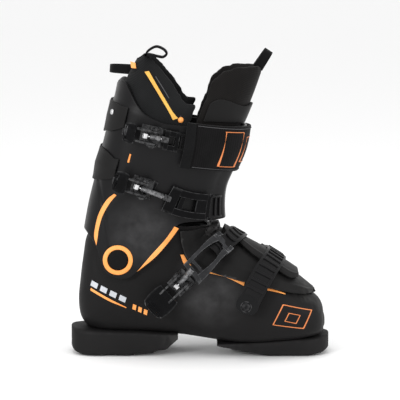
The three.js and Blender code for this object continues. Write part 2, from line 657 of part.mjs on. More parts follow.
// ---------------------------------------------------------------- buckles
/**
 * An over-centre buckle laid along a track. Its base carries two ears with pivot studs, the lever turns on
 * the studs, a rod hangs on the lever's link pin, and the bail at the rod's end hooks a toothed ladder that
 * is riveted at the far end of the track.
 */
function buckle(name, group, bodyForm, track, size) {
  const frame = track.frame(0);
  const local = (x, y, z) => new THREE.Vector3(x, y, z).applyMatrix4(frame);
  const block = (low, high) => {
    const dims = high.map((v, i) => v - low[i]);
    const middle = high.map((v, i) => (v + low[i]) / 2);
    return solidOf(new THREE.BoxGeometry(...dims).translate(...middle), frame);
  };
  const across = (shape, low, high) =>
    solidOf(
      new THREE.ExtrudeGeometry(shape, { depth: high - low, bevelEnabled: false, curveSegments: 4 })
        .rotateX(Math.PI / 2)
        .translate(0, high, 0),
      frame,
    );
  const H = PIVOT_HEIGHT;
  const link = { x: -THROW, z: H - THROW_DROP };
  const armIn = SLEEVE_SIZE / 2 + 3;
  const armOut = armIn + EAR_THICKNESS;
  const earIn = armOut + HINGE_CLEARANCE;
  const earOut = earIn + EAR_THICKNESS;
  const clear = bodyForm.inset(-GAP).solid();

  const earShape = new THREE.Shape();
  earShape.absarc(0, H, LEVER_ARM_HEIGHT / 2 - 0.6, 0, Math.PI, false);
  earShape.lineTo(-LEVER_ARM_HEIGHT * 0.8, -3);
  earShape.lineTo(LEVER_ARM_HEIGHT * 0.8, -3);
  const plate = block([-THROW - 6, -earOut, -3], [10, earOut, BASE_THICKNESS + 0.6]);
  const studs = [-1, 1].map((s) =>
    bar(local(0, s * (earIn + 0.8), H), local(0, s * (armIn + 0.4), H), HINGE_RADIUS, { sides: 8 }));
  const ears = [across(earShape, earIn, earOut), across(earShape, -earOut, -earIn)];
  place(
    group,
    `${name}_buckle_base`,
    largest(cut(join(plate, ...ears, ...studs), clear)),
    MATERIAL.buckle,
  );

  const arm = new THREE.Shape();
  arm.absarc(0, H, LEVER_ARM_HEIGHT / 2 - 0.8, Math.PI / 2, -Math.PI / 2, true);
  arm.lineTo(link.x, link.z - 3.4);
  arm.lineTo(link.x - 5, link.z - 1);
  arm.lineTo(-size.lever * 0.6, H + 1);
  arm.lineTo(-size.lever * 0.6, H + 3.6);
  for (const [x, z, r] of [[0, H, HINGE_RADIUS], [link.x, link.z, ROD_RADIUS]]) {
    const hole = new THREE.Path();
    hole.absarc(x, z, r + HINGE_CLEARANCE, 0, 2 * Math.PI, false);
    arm.holes.push(hole);
  }
  const leverMesh = place(
    group,
    `${name}_buckle_lever`,
    join(
      across(arm, armIn, armOut),
      across(arm, -armOut, -armIn),
      block([-size.lever, -size.halfWidth, H + 1], [link.x - 9.5, size.halfWidth, H + 1 + LEVER_THICKNESS]),
    ),
    MATERIAL.buckle,
  );
  place(
    group,
    `${name}_buckle_link_pin`,
    bar(local(link.x, -armOut, link.z), local(link.x, armOut, link.z), ROD_RADIUS, { sides: 8 }),
    MATERIAL.steel,
  );

  const pin = local(link.x, 0, link.z);
  const bailMiddle = (size.bailLow + size.bailLow + BAIL_THICKNESS) / 2;
  const socket = track.over(size.bailFrom + 1, 0, bailMiddle);
  const reach = pin.distanceTo(socket);
  const onRod = (distance) => pin.clone().lerp(socket, distance / reach);
  const eyeHalf = SLEEVE_SIZE / 2;
  const rodEnd = reach + 2;
  place(
    group,
    `${name}_buckle_rod`,
    join(
      bar(local(link.x, -eyeHalf, link.z), local(link.x, eyeHalf, link.z), 3.4, {
        inner: ROD_RADIUS + HINGE_CLEARANCE,
        sides: 10,
      }),
      bar(onRod(2.9), onRod(rodEnd), ROD_RADIUS, { sides: 8 }),
    ),
    MATERIAL.steel,
  );
  place(
    group,
    `${name}_buckle_sleeve`,
    bar(onRod(4), onRod(reach - 6), SLEEVE_SIZE / 2, { inner: ROD_RADIUS + GAP, sides: 8 }),
    MATERIAL.buckle,
  );

  const { bailFrom, bailTo, bailHalf, bailLow } = size;
  const bailHigh = bailLow + BAIL_THICKNESS;
  const hookLow = bailLow - TOOTH_HEIGHT;
  const collar = bar(onRod(reach - 5), onRod(rodEnd + 1.5), ROD_RADIUS + 1.9, { sides: 8 });
  const loop = cut(
    track.band(bailFrom, bailTo, bailHalf, bailLow, bailHigh, 5),
    track.band(bailFrom + BAIL_ARM_WIDTH, bailTo - 4, bailHalf - BAIL_ARM_WIDTH * 0.7, bailLow - 8,
      bailHigh + 8, 3),
  );
  const hook = track.band(bailTo - 2.6, bailTo, bailHalf - 4, hookLow, bailLow + 0.5, 1);
  const rodHole = bar(onRod(0), onRod(rodEnd + GAP), ROD_RADIUS + GAP, { sides: 8 });
  place(
    group,
    `${name}_buckle_bail`,
    largest(cut(join(loop, collar, hook), rodHole)),
    MATERIAL.buckle,
  );

  const ladderTop = hookLow - HOOK_CLEARANCE;
  const ladderBottom = ladderTop - LADDER_THICKNESS;
  const end = track.length;
  const strip = track.band(bailTo - 12, end, size.ladderHalf, ladderBottom, ladderTop, 12);
  const teeth = [];
  for (let i = 0; i < size.teeth; i++) {
    const middle = bailTo - 5.3 + i * TOOTH_PITCH;
    teeth.push(track.band(middle - 1.5, middle + 1.5, size.ladderHalf - 1, ladderTop - 0.5,
      ladderTop + TOOTH_HEIGHT - GAP, 1));
  }
  const rivetAt = (height) => track.over(end - RIVET_RADIUS - 3, 0, height);
  const rivetBottom = size.rivetBottom ?? ladderBottom;
  place(
    group,
    `${name}_ladder`,
    largest(cut(join(strip, ...teeth), size.under, bar(rivetAt(-8), rivetAt(20), ROD_RADIUS + GAP))),
    MATERIAL.buckle,
  );
  place(
    group,
    `${name}_ladder_rivet`,
    join(
      bar(rivetAt(ladderTop + GAP), rivetAt(ladderTop + GAP + RIVET_HEIGHT), RIVET_RADIUS, { sides: 12 }),
      bar(rivetAt(rivetBottom), rivetAt(ladderTop + GAP + 0.5), ROD_RADIUS, { sides: 8 }),
    ),
    MATERIAL.shell,
  );

  leverMesh.userData = {
    hinge: local(0, 0, H).toArray(),
    link: pin.toArray(),
    axis: new THREE.Vector3(0, 1, 0).transformDirection(frame).toArray(),
    rod: socket.clone().sub(pin).normalize().toArray(),
  };
}

const ladderSpace = GAP + LADDER_THICKNESS + HOOK_CLEARANCE;
const flapTop = 2 * FLAP_RISE;
const bailOver = (height) => height + ladderSpace + TOOTH_HEIGHT;
const flapClear = shellForm.inset(-flapTop - GAP).solid();
const cuffClear = cuffForm.inset(-GAP).solid();

buckle("toe", boot, shellForm,
  new Track(shellForm, [innerSide(shellForm, 58, 74), [5.35, 180], outerSide(shellForm, 52, 58)]),
  { lever: 38, halfWidth: 11, bailFrom: 16, bailTo: 40, bailHalf: 11.5, bailLow: bailOver(flapTop),
    ladderHalf: 10, teeth: 4, under: flapClear, rivetBottom: GAP });
buckle("instep", boot, shellForm,
  new Track(shellForm, [outerSide(shellForm, -20, 92), outerSide(shellForm, 4, 115), [7.9, 180],
    innerSide(shellForm, 30, 100)]),
  { lever: 50, halfWidth: 16, bailFrom: 14, bailTo: 58, bailHalf: 13.5,
    bailLow: bailOver(flapTop),
    ladderHalf: 11, teeth: 3, under: flapClear, rivetBottom: GAP });
buckle("lower_cuff", cuffGroup, cuffForm,
  new Track(cuffForm, [outerSide(cuffForm, -64, 203), outerSide(cuffForm, -12, 182), [3.15, 180],
    innerSide(cuffForm, -2, 176)]),
  { lever: 36, halfWidth: 13, bailFrom: 28, bailTo: 78, bailHalf: 16, bailLow: bailOver(0),
    ladderHalf: 12, teeth: 4, under: cuffClear });
buckle("upper_cuff", cuffGroup, cuffForm,
  new Track(cuffForm, [outerSide(cuffForm, -53, 263), outerSide(cuffForm, -14, 255), [6.2, 180],
    innerSide(cuffForm, 0, 250)]),
  { lever: 34, halfWidth: 12, bailFrom: 13, bailTo: 29, bailHalf: 11.5, bailLow: bailOver(0),
    ladderHalf: 10, teeth: 2, under: cuffClear });

// ---------------------------------------------------------------- power strap
const STRAP_WIDTH = 52;
const strapTrack = new Track(cuffForm, [
  outerSide(cuffForm, -19, 254), [6.1, 180], innerSide(cuffForm, -24, 252), innerSide(cuffForm, -70, 262),
]);
const strapLift = ladderSpace + TOOTH_HEIGHT;
const strapRise = (t) => strapLift - (strapLift - GAP) * THREE.MathUtils.smoothstep(t, 0.72, 0.92);
const strapTop = (t) => strapRise(t) + STRAP_THICKNESS;
const strapBand = strapTrack.band(0, strapTrack.length, STRAP_WIDTH / 2, strapRise, strapTop, 20);
place(cuffGroup, "power_strap", cut(strapBand, cuffClear), MATERIAL.webbing);

// ---------------------------------------------------------------- liner
const linerOutside = shellForm.inset(SHELL_WALL + LINER_GAP);
const linerInside = linerOutside.inset(LINER_FOAM);
const boardTop = [side(-160, 42), side(20, 30), side(150, 27)];
const below = (points, drop) => acrossBoot([
  ...points.map((p) => new THREE.Vector2(p.x, p.y - drop)),
  side(200, -20),
  side(-200, -20),
]);
place(boot, "boot_board", largest(linerOutside.solid().intersect(below(boardTop, GAP))), MATERIAL.board);

/** Everything over two rays from the ankle pivot, one rising to the toe and one falling to the heel. */
function overRays(frontDegrees, heelDegrees, lift) {
  const at = (x, degrees) =>
    new THREE.Vector2(x, PIVOT.y + lift + (x - PIVOT.x) * Math.tan(THREE.MathUtils.degToRad(degrees)));
  return acrossBoot([
    at(-300, heelDegrees), at(PIVOT.x, 0), at(300, frontDegrees), new THREE.Vector2(300, 600),
    new THREE.Vector2(-300, 600),
  ]);
}
const ANKLE_SPLIT = 12; // degrees of the ray that ends the liner's foot
const FLEX_ROOM = 8; // degrees kept open for the flex above it
const boltRoom = PIVOT_FLANGE_RADIUS + 1.5;
const flangeRoom = [-1, 1].map((s) => {
  const face = Math.abs(shellInside.point(...shellInside.seenAt(PIVOT, -1)).y);
  return alongY(PIVOT, boltRoom, s * (face - 4.5), s * (face + 6), { sides: 16 });
});
const footTop = { ...linerInside.sections.at(-1), front: side(2, 200), back: side(-106, 210) };
const footSole = below(boardTop, -LINER_FOAM * 0.8);
const footRoom = cut(new Form([...linerInside.sections, footTop]).solid(), footSole);
const overFoot = overRays(ANKLE_SPLIT, ANKLE_SPLIT, 0);
const linerFoot = cut(linerOutside.solid(), below(boardTop, 0), footRoom, overFoot, ...flangeRoom);
place(boot, "liner_foot", largest(linerFoot), MATERIAL.liner);

const shaftRoom = shaftForm.inset(LINER_FOAM).solid();
/** An outline of the side view with every point that `pick` chooses moved up. */
const raised = (outline, pick, rise) =>
  outline.map((p, i) => new THREE.Vector2(p.x, p.y + (pick(p, i) ? rise : 0)));
const cuffReach = raised(cuffOutline, (p) => p.y > PIVOT.y * 2, LINER_GAP);
const cuffWithRoom = cut(cuffForm.inset(-GAP).solid(), cuffForm.inset(CUFF_WALL + LINER_GAP).solid())
  .intersect(acrossBoot(cuffReach));
const collarOutline = [
  side(-200, 60), side(10, 60), side(10, 200), side(0, 280), side(-3, 299), side(-13, 302), side(-26, 320),
  side(-41, 339), side(-51, 348), side(-63, 356), side(-74, 354), side(-82, 338), side(-200, 326),
];
const linerCuff = shaftForm.solid().intersect(acrossBoot(collarOutline)).intersect(
  overRays(ANKLE_SPLIT + FLEX_ROOM, ANKLE_SPLIT, LINER_GAP));
const collarPad = largest(cut(linerCuff, shaftRoom, cuffWithRoom, ...flangeRoom));
place(cuffGroup, "liner_cuff", collarPad, MATERIAL.liner);
const collarTop = shaftForm.inset(-GAP).solid()
  .intersect(acrossBoot(raised(collarOutline, (p, i) => i > 4, GAP)));

const tongueOutline = [
  side(14, 172), side(60, 172), side(100, 260), side(100, 338), side(76, 340), side(44.5, 343),
  side(29.5, 338), side(16, 329), side(9, 320), side(1, 306), side(3, 280), side(13, 200),
];
const tongueSkin = cut(shaftForm.solid(), shaftForm.inset(TONGUE_FOAM).solid());
place(
  cuffGroup,
  "liner_tongue",
  largest(cut(tongueSkin.intersect(acrossBoot(tongueOutline)), cuffWithRoom)),
  MATERIAL.liner,
);
const shieldOutline = [
  side(8, 284), side(15, 297), side(24, 304), side(33, 302), side(49, 296), side(80, 300), side(80, 284),
];
place(cuffGroup, "tongue_shield", panel(shaftForm, shieldOutline, GAP, GAP + 2), MATERIAL.flap);

/** A folded webbing loop standing in the side view between four corners. */
function webbingLoop(corners, halfWidth) {
  const outline = corners.map(([x, z]) => side(x, z));
  const middle = outline.reduce((sum, p) => sum.add(p), new THREE.Vector2()).divideScalar(outline.length);
  const inward = (p) => middle.clone().sub(p).setLength(LOOP_THICKNESS * Math.SQRT2);
  const inside = outline.map((p) => p.clone().add(inward(p)));
  return cut(acrossBoot(outline, halfWidth), acrossBoot(inside));
}
const shaftClear = shaftForm.inset(-GAP).solid();
const heelLoop = webbingLoop([[-103, 329], [-101, 342], [-82, 341], [-80, 330]], 10);
place(cuffGroup, "heel_pull_loop", largest(cut(heelLoop, shaftClear)), MATERIAL.webbing);
const collarLoop = webbingLoop([[-68, 350], [-58, 363], [-47, 366], [-36, 359], [-44, 349]], 7)
  .translate([0, -36 * STRETCH.y, 0]);
place(cuffGroup, "collar_pull_loop", largest(cut(collarLoop, collarTop)), MATERIAL.webbing);
const tongueTab = webbingLoop([[60, 341.6], [70, 356], [81, 348], [76, 341.2]], 7);
place(cuffGroup, "tongue_pull_tab", tongueTab, MATERIAL.webbing);

export default boot;
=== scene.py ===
"""Looks of a right alpine ski boot: moulded shell and cuff, four buckles, a strap and a padded liner."""

import json
import logging
import math
from dataclasses import dataclass, field, replace
from enum import Enum
from typing import Callable, Sequence

import bmesh
import bpy
import numpy as np
from mathutils import Matrix, Vector


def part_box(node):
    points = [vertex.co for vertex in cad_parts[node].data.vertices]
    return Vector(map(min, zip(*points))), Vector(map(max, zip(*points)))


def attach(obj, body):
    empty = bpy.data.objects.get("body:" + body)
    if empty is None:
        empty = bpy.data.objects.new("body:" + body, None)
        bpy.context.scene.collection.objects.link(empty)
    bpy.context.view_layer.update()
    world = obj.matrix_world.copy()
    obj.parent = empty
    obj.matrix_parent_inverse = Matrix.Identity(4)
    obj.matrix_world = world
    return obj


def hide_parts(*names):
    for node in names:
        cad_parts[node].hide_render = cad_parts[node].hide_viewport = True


LOG = logging.getLogger("ski_boot")
MM = 0.001
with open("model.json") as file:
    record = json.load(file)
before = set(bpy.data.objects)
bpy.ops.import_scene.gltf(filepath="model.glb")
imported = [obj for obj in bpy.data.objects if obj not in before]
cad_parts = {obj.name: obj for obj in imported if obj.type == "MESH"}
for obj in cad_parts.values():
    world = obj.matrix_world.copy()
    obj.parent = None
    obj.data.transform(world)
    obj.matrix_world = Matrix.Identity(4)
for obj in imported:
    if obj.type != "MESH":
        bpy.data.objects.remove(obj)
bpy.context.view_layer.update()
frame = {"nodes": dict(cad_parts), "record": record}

Array = np.ndarray
Pair = tuple[Array, Array]
Mesh = bmesh.types.BMesh
Socket = bpy.types.NodeSocket
Outline = Sequence[tuple[float, float]]
Spot = Callable[[Array, Array], Pair]
Rise = Callable[[Array, Array], Array]


# ---------------------------------------------------------------- sizes shared with the frame
@dataclass(frozen=True)
class Sizes:
    """Sizes in millimetres that the pieces share with the frame."""

    shell_wall: float = 5.0
    cuff_wall: float = 4.0
    flap: float = 5.5
    gap: float = 0.35
    pivot: tuple[float, float] = (-95.0, 118.0)
    pivot_height: float = 12.0
    hinge_radius: float = 2.0
    throw: float = 9.0
    throw_drop: float = 3.0
    rod_radius: float = 1.7
    sleeve_radius: float = 3.0
    tooth_height: float = 2.6
    tooth_pitch: float = 8.0
    ladder: float = 2.0
    hook_clearance: float = 0.7
    ear: float = 2.4
    bail: float = 2.6


SIZE = Sizes()
FLAP_RISE = SIZE.flap + SIZE.gap
LADDER_SPACE = SIZE.gap + SIZE.ladder + SIZE.hook_clearance


# ---------------------------------------------------------------- lofted forms
def blend(a: Array, b: Array, c: Array, d: Array, t: Array) -> Array:
    """Returns: a smooth blend from b to c at shares t, between the rows a before and d after."""
    m0, m1 = (c - a) / 2, (d - b) / 2
    return (
        (2 * t**3 - 3 * t**2 + 1) * b + (t**3 - 2 * t**2 + t) * m0
        + (-2 * t**3 + 3 * t**2) * c + (t**3 - t**2) * m1
    )


@dataclass(frozen=True)
class Section:
    """One cross-section of a form, from a back point to a front point of the side view."""

    front: tuple[float, float]
    back: tuple[float, float]
    half: float
    mid: float = 0.5
    front_power: float = 2.4
    back_power: float = 2.4
    nose: float = 0.0

    def row(self) -> list[float]:
        """The section's numbers in one row."""
        return [*self.front, *self.back, self.half, self.mid, self.front_power, self.back_power]


class Form:
    """A smooth form through a row of sections, addressed by a place along the row and an angle in degrees."""

    def __init__(self, sections: Sequence[Section], cap: float = 0.0) -> None:
        """Args: sections: from the first to the last; cap: bulge of the closing cap before the first one."""
        self.sections = list(sections)
        self.table = np.array([s.row() for s in sections])
        self.last = len(sections) - 1
        self.cap = cap

    def rows(self, place: Array) -> Array:
        """Returns: the section numbers at places along the row, blended smoothly."""
        s = np.clip(place, 0, self.last)
        i = np.minimum(s.astype(int), self.last - 1)
        t = (s - i)[:, None]
        return blend(*(self.table[np.clip(i + k, 0, self.last)] for k in (-1, 0, 1, 2)), t)

    def point(self, place: Array, degrees: Array) -> Array:
        """Returns: surface points; 0 degrees is the back, 90 the outer side, 180 the front."""
        place, degrees = np.broadcast_arrays(np.atleast_1d(place).astype(float), np.atleast_1d(degrees))
        fx, fz, bx, bz, half, mid, fp, bp = self.rows(place).T
        c, s = np.cos(np.radians(degrees)), np.sin(np.radians(degrees))
        power = 2 / np.where(c > 0, bp, fp)
        along = -np.sign(c) * np.abs(c) ** power
        across = -np.sign(s) * np.abs(s) ** power
        share = np.where(along < 0, mid * (1 + along), mid + (1 - mid) * along)
        x, y, z = bx + (fx - bx) * share, across * half, bz + (fz - bz) * share
        t = np.clip(-place, 0, 1)
        shrink = np.sqrt(1 - t**2)
        centre = bz + (fz - bz) * mid
        return np.stack([x + self.cap * t, y * shrink, centre + (z - centre) * shrink], axis=1)

    def normal(self, place: Array, degrees: Array) -> Array:
        """Returns: outward unit normals."""
        place, degrees = np.broadcast_arrays(np.atleast_1d(place).astype(float), np.atleast_1d(degrees))
        along = self.point(place + 0.02, degrees) - self.point(place - 0.02, degrees)
        across = self.point(place, degrees + 1) - self.point(place, degrees - 1)
        n = np.cross(along, across)
        n /= np.maximum(np.linalg.norm(n, axis=1, keepdims=True), 1e-9)
        q = self.rows(place)
        middle = np.stack([
            q[:, 2] + (q[:, 0] - q[:, 2]) * q[:, 5], 0 * place, q[:, 3] + (q[:, 1] - q[:, 3]) * q[:, 5],
        ], axis=1)
        out = self.point(place, degrees) - middle
        return n * np.where((n * out).sum(1, keepdims=True) < 0, -1, 1)

    def seen_at(self, x: Array, z: Array, side: int = -1) -> Pair:
        """Args: x, z: side-view points; side: -1 the outer side, 1 the inner. Returns: places and angles."""
        x, z = np.atleast_1d(x).astype(float), np.atleast_1d(z).astype(float)

        def off(s: Array) -> Array:
            """Which side of the section's line the point is on."""
            q = self.rows(s)
            return (q[:, 0] - q[:, 2]) * (z - q[:, 3]) - (q[:, 1] - q[:, 3]) * (x - q[:, 2])

        low, high = np.zeros_like(x), np.full_like(x, float(self.last))
        rising = off(high) < off(low)
        for _ in range(30):
            s = (low + high) / 2
            ahead = (off(s) > 0) == rising
            low, high = np.where(ahead, s, low), np.where(ahead, high, s)
        q = self.rows(low)
        dx, dz = q[:, 0] - q[:, 2], q[:, 1] - q[:, 3]
        share = ((x - q[:, 2]) * dx + (z - q[:, 3]) * dz) / (dx**2 + dz**2)
        along = np.clip(np.where(share < q[:, 5], share / q[:, 5] - 1, (share - q[:, 5]) / (1 - q[:, 5])), -1,
                        1)
        power = np.where(along < 0, q[:, 7], q[:, 6]) / 2
        degrees = np.degrees(np.arccos(-np.sign(along) * np.abs(along) ** power))
        return low, degrees if side < 0 else 360 - degrees

    def inset(self, depth: float) -> "Form":
        """Returns: the form with its surface moved in by a depth."""
        made = []
        for s in self.sections:
            f, b = np.array(s.front), np.array(s.back)
            d = (f - b) / np.linalg.norm(f - b)
            inward = depth * (1 - s.nose)
            shift = np.array([-depth * s.nose, 0])
            made.append(replace(s, front=tuple(f - d * inward + shift), back=tuple(b + d * inward + shift),
                                half=s.half - inward))
        return Form(made, self.cap)


def _sections(common: dict, rows: Sequence[tuple]) -> list[Section]:
    """Args: common: what the rows share; rows: front, back, half and overrides. Returns: sections."""
    return [Section(r[0], r[1], r[2], **{**common, **(r[3] if len(r) > 3 else {})}) for r in rows]


TOE = {"mid": 0.4, "front_power": 2.2, "back_power": 3.4}
HEEL = {"mid": 0.44, "front_power": 2.6, "back_power": 2.8}
CALF = {"mid": 0.42, "front_power": 2.3, "back_power": 2.7}
ANKLE = {"mid": 0.41, "front_power": 2.7, "back_power": 3.1}
SHELL = Form(
    _sections(TOE, [
        ((146, 47), (146, 31), 13, {"nose": 1}), ((145, 56), (145, 27), 23, {"nose": 0.85}),
        ((140, 65), (140, 24), 34, {"nose": 0.55}), ((129, 74), (131, 22), 43, {"nose": 0.25}),
        ((111, 88.5), (114, 19), 49.5, {"nose": 0.08}), ((91, 102), (92, 17), 53), ((70, 115), (68, 15), 54),
        ((50, 126), (40, 15), 51.5), ((36, 134), (10, 19), 48),
        ((28, 140), (-22, 23), 45.5, {"back_power": 3}),
        ((22, 143), (-55, 25), 43.5, {"mid": 0.42, "front_power": 2.6, "back_power": 3}),
    ]) + _sections(HEEL, [
        ((18, 146), (-90, 25), 42), ((15, 148), (-122, 28), 41.5), ((14, 149), (-139, 40), 41.5),
        ((13, 150), (-143.5, 62), 41.5), ((13, 151), (-141, 92), 41.5), ((13, 151.5), (-137.5, 118), 41.5),
        ((13, 152), (-134, 138), 41.5), ((13, 152.5), (-127, 149), 41), ((13, 153), (-121, 163), 40.5),
    ]), cap=2.0)
CUFF = Form(
    _sections(ANKLE, [((40, 84), (-146, 84), 50), ((34, 118), (-142, 120), 50),
                      ((28, 146), (-137, 148), 50.5)])
    + _sections({"mid": 0.42, "front_power": 2.5, "back_power": 2.9}, [((25, 172), (-131, 180), 51.5)])
    + _sections(CALF, [((27, 198), (-123, 212), 53.5), ((36, 221), (-115, 245), 56),
                       ((45, 243), (-107.5, 275), 58.5),
                       ((50, 266), (-101, 305), 60), ((53, 290), (-95, 334), 61)]))
SHAFT = Form(
    _sections(HEEL, [((-4, 128), (-124, 104), 33), ((-2, 154), (-119, 138), 33), ((2, 172), (-115, 166), 34)])
    + _sections(CALF, [((20, 200), (-116, 208), 46), ((31, 222), (-109, 243), 50.5),
                       ((41, 244), (-102, 274), 53),
                       ((47, 266), (-95.5, 304), 54.5), ((56, 288), (-88, 330), 54),
                       ((64, 308), (-80, 348), 51),
                       ((76, 342), (-72, 366), 48)]))


class Curve:
    """A smooth line through points of any width, read by its share from 0 to 1."""

    def __init__(self, points: Sequence[Sequence[float]], smooth: bool = True) -> None:
        """Args: points: what it passes through; smooth: rounded through them, or straight between."""
        self.points = np.array(points, dtype=float)
        steps = np.linalg.norm(np.diff(self.points, axis=0), axis=1)
        self.knots = np.concatenate([[0], np.cumsum(steps)]) / steps.sum()
        self.smooth = smooth

    def at(self, share: Array) -> Array:
        """Returns: the points at shares of the line's length."""
        share = np.clip(np.atleast_1d(share), 0, 1)
        n = len(self.points) - 1
        i = np.clip(np.searchsorted(self.knots, share, side="right") - 1, 0, n - 1)
        t = ((share - self.knots[i]) / (self.knots[i + 1] - self.knots[i]))[:, None]
        a, b, c, d = (self.points[np.clip(i + k, 0, n)] for k in (-1, 0, 1, 2))
        if not self.smooth:
            return b + (c - b) * t
        return blend(a, b, c, d, t)


class Track:
    """A line laid on a form, measured in millimetres from its first stop."""

    def __init__(self, form: Form, stops: Sequence[tuple[float, float]]) -> None:
        """Args: form: what it lies on; stops: places and angles."""
        self.form = form
        n = len(stops) - 1
        shares = np.linspace(0, 1, 241)
        pts = np.array(stops, dtype=float)
        s = shares * n
        i = np.minimum(s.astype(int), n - 1)
        t = (s - i)[:, None]
        a, b, c, d = (pts[np.clip(i + k, 0, n)] for k in (-1, 0, 1, 2))
        a = np.where((i == 0)[:, None], b, a)
        d = np.where((i == n - 1)[:, None], c, d)
        self.spots_table = blend(a, b, c, d, t)
        path = form.point(*self.spots_table.T)
        self.lengths = np.concatenate([[0], np.cumsum(np.linalg.norm(np.diff(path, axis=0), axis=1))])
        self.length = float(self.lengths[-1])

    def middle(self, mm: Array) -> Pair:
        """Returns: the place and angle under distances along the line."""
        return tuple(np.interp(mm, self.lengths, self.spots_table[:, k]) for k in (0, 1))

    def axes(self, mm: Array) -> tuple[Array, Array, Array, Array]:
        """Returns: surface points, and the directions along, across and outward there."""
        mm = np.atleast_1d(mm).astype(float)
        point = self.form.point(*self.middle(mm))
        ahead = self.form.point(*self.middle(mm + 1.5)) - self.form.point(*self.middle(mm - 1.5))
        out = self.form.normal(*self.middle(np.clip(mm, 0, self.length)))
        across = np.cross(out, ahead)
        across /= np.linalg.norm(across, axis=1, keepdims=True)
        return point, np.cross(across, out), across, out

    def spots(self, mm: Array, across: Array) -> Pair:
        """Returns: the place and angle so far along the line and so far across it."""
        place, degrees = self.middle(np.clip(mm, 0, self.length))
        _, _, side, _ = self.axes(np.clip(mm, 0, self.length))
        dp = (self.form.point(place + 0.02, degrees) - self.form.point(place - 0.02, degrees)) / 0.04
        dd = (self.form.point(place, degrees + 1) - self.form.point(place, degrees - 1)) / 2
        pp, pd, qq = (dp * dp).sum(1), (dp * dd).sum(1), (dd * dd).sum(1)
        sp, sd = (dp * side).sum(1), (dd * side).sum(1)
        det = pp * qq - pd * pd
        return place + across * (sp * qq - sd * pd) / det, degrees + across * (sd * pp - sp * pd) / det

    def frame(self, mm: float) -> Matrix:
        """Returns: the frame on the surface: X along, Y across, Z outward, in millimetres."""
        point, along, across, out = (v[0] for v in self.axes(mm))
        m = Matrix.Identity(4)
        for k, axis in enumerate((along, across, out, point)):
            for r in range(3):
                m[r][k] = float(axis[r])
        return m

    def over(self, mm: float, across: float, height: float) -> Vector:
        """Returns: the point so far along, across and over the surface."""
        return self.frame(mm) @ Vector((0, across, height))


def outer(form: Form, x: float, z: float, side: int = -1) -> tuple[float, float]:
    """Returns: the spot of a form seen at a side-view point, from the outer side unless told."""
    place, degrees = form.seen_at(x, z, side)
    return float(place[0]), float(degrees[0])


def inner(form: Form, x: float, z: float) -> tuple[float, float]:
    """Returns: the spot of a form seen at a side-view point from the inner side."""
    return outer(form, x, z, 1)


# ---------------------------------------------------------------- mesh work
def grid(nu: int, nv: int) -> tuple[Mesh, Array, Array]:
    """Args: nu, nv: cells each way. Returns: a grid mesh and each vertex's two shares, 0 to 1."""
    bm = bmesh.new()
    bmesh.ops.create_grid(bm, x_segments=nu, y_segments=nv, size=1.0)
    co = np.array([v.co[:2] for v in bm.verts])
    return bm, (co[:, 0] + 1) / 2, (co[:, 1] + 1) / 2


def place_verts(bm: Mesh, co: Array) -> None:
    """Moves every vertex of a mesh to its new place."""
    for v, p in zip(bm.verts, co):
        v.co = p


def lay(form: Form, spot: Spot, nu: int, nv: int, rise: Rise | float = 0.0) -> Mesh:
    """Lays a grid on a form.

    Args:
        form: what it lies on.
        spot: gives the place and angle of each grid vertex.
        nu, nv: cells each way.
        rise: height over the form, or a function of the grid's shares.

    Returns:
        The mesh, its faces outward; its seams are left open.
    """
    bm, u, v = grid(nu, nv)
    place, degrees = spot(u, v)
    height = rise(u, v) if callable(rise) else np.full_like(u, rise)
    place_verts(bm, form.point(place, degrees) + form.normal(place, degrees) * height[:, None])
    out = form.normal(place, degrees)
    bm.normal_update()
    agree = sum(v.normal.dot(Vector(n)) for v, n in zip(bm.verts, out))
    if agree < 0:
        bmesh.ops.reverse_faces(bm, faces=bm.faces[:])
    return bm


def weld(bm: Mesh, dist: float = 0.02) -> Mesh:
    """Returns: the mesh with its doubled vertices merged."""
    bmesh.ops.remove_doubles(bm, verts=bm.verts[:], dist=dist)
    return bm


def thicken(bm: Mesh, depth: float) -> Mesh:
    """Returns: the open skin made a closed wall that goes in from it by a depth."""
    bm.normal_update()
    bmesh.ops.solidify(bm, geom=bm.faces[:], thickness=depth)
    bmesh.ops.recalc_face_normals(bm, faces=bm.faces[:])
    return bm


def soften(bm: Mesh, width: float, segments: int = 2, angle: float = 35) -> Mesh:
    """Returns: the mesh with every edge sharper than an angle rounded."""
    bm.normal_update()
    sharp = [e for e in bm.edges if len(e.link_faces) == 2 and e.calc_face_angle(0) > math.radians(angle)]
    bmesh.ops.bevel(bm, geom=sharp, offset=width, offset_type="OFFSET", affect="EDGES", segments=segments,
                    profile=0.5, material=-1, clamp_overlap=True)
    return bm


def gather(parts: Sequence[Mesh]) -> Mesh:
    """Returns: one mesh of several, which are freed."""
    whole = bmesh.new()
    for part in parts:
        scratch = bpy.data.meshes.new("scratch")
        part.to_mesh(scratch)
        part.free()
        whole.from_mesh(scratch)
        bpy.data.meshes.remove(scratch)
    return whole


def slab(at: Matrix, low: Sequence[float], high: Sequence[float], bevel: float = 0.5) -> Mesh:
    """Returns: a box with rounded edges between two corners of a frame."""
    bm = bmesh.new()
    bmesh.ops.create_cube(bm, size=1.0)
    size = [h - l for l, h in zip(low, high)]
    bmesh.ops.scale(bm, vec=size, verts=bm.verts[:])
    bmesh.ops.translate(bm, vec=[(h + l) / 2 for l, h in zip(low, high)], verts=bm.verts[:])
    soften(bm, min(bevel, min(size) * 0.4), 2)
    bmesh.ops.transform(bm, matrix=at, verts=bm.verts[:])
    return bm


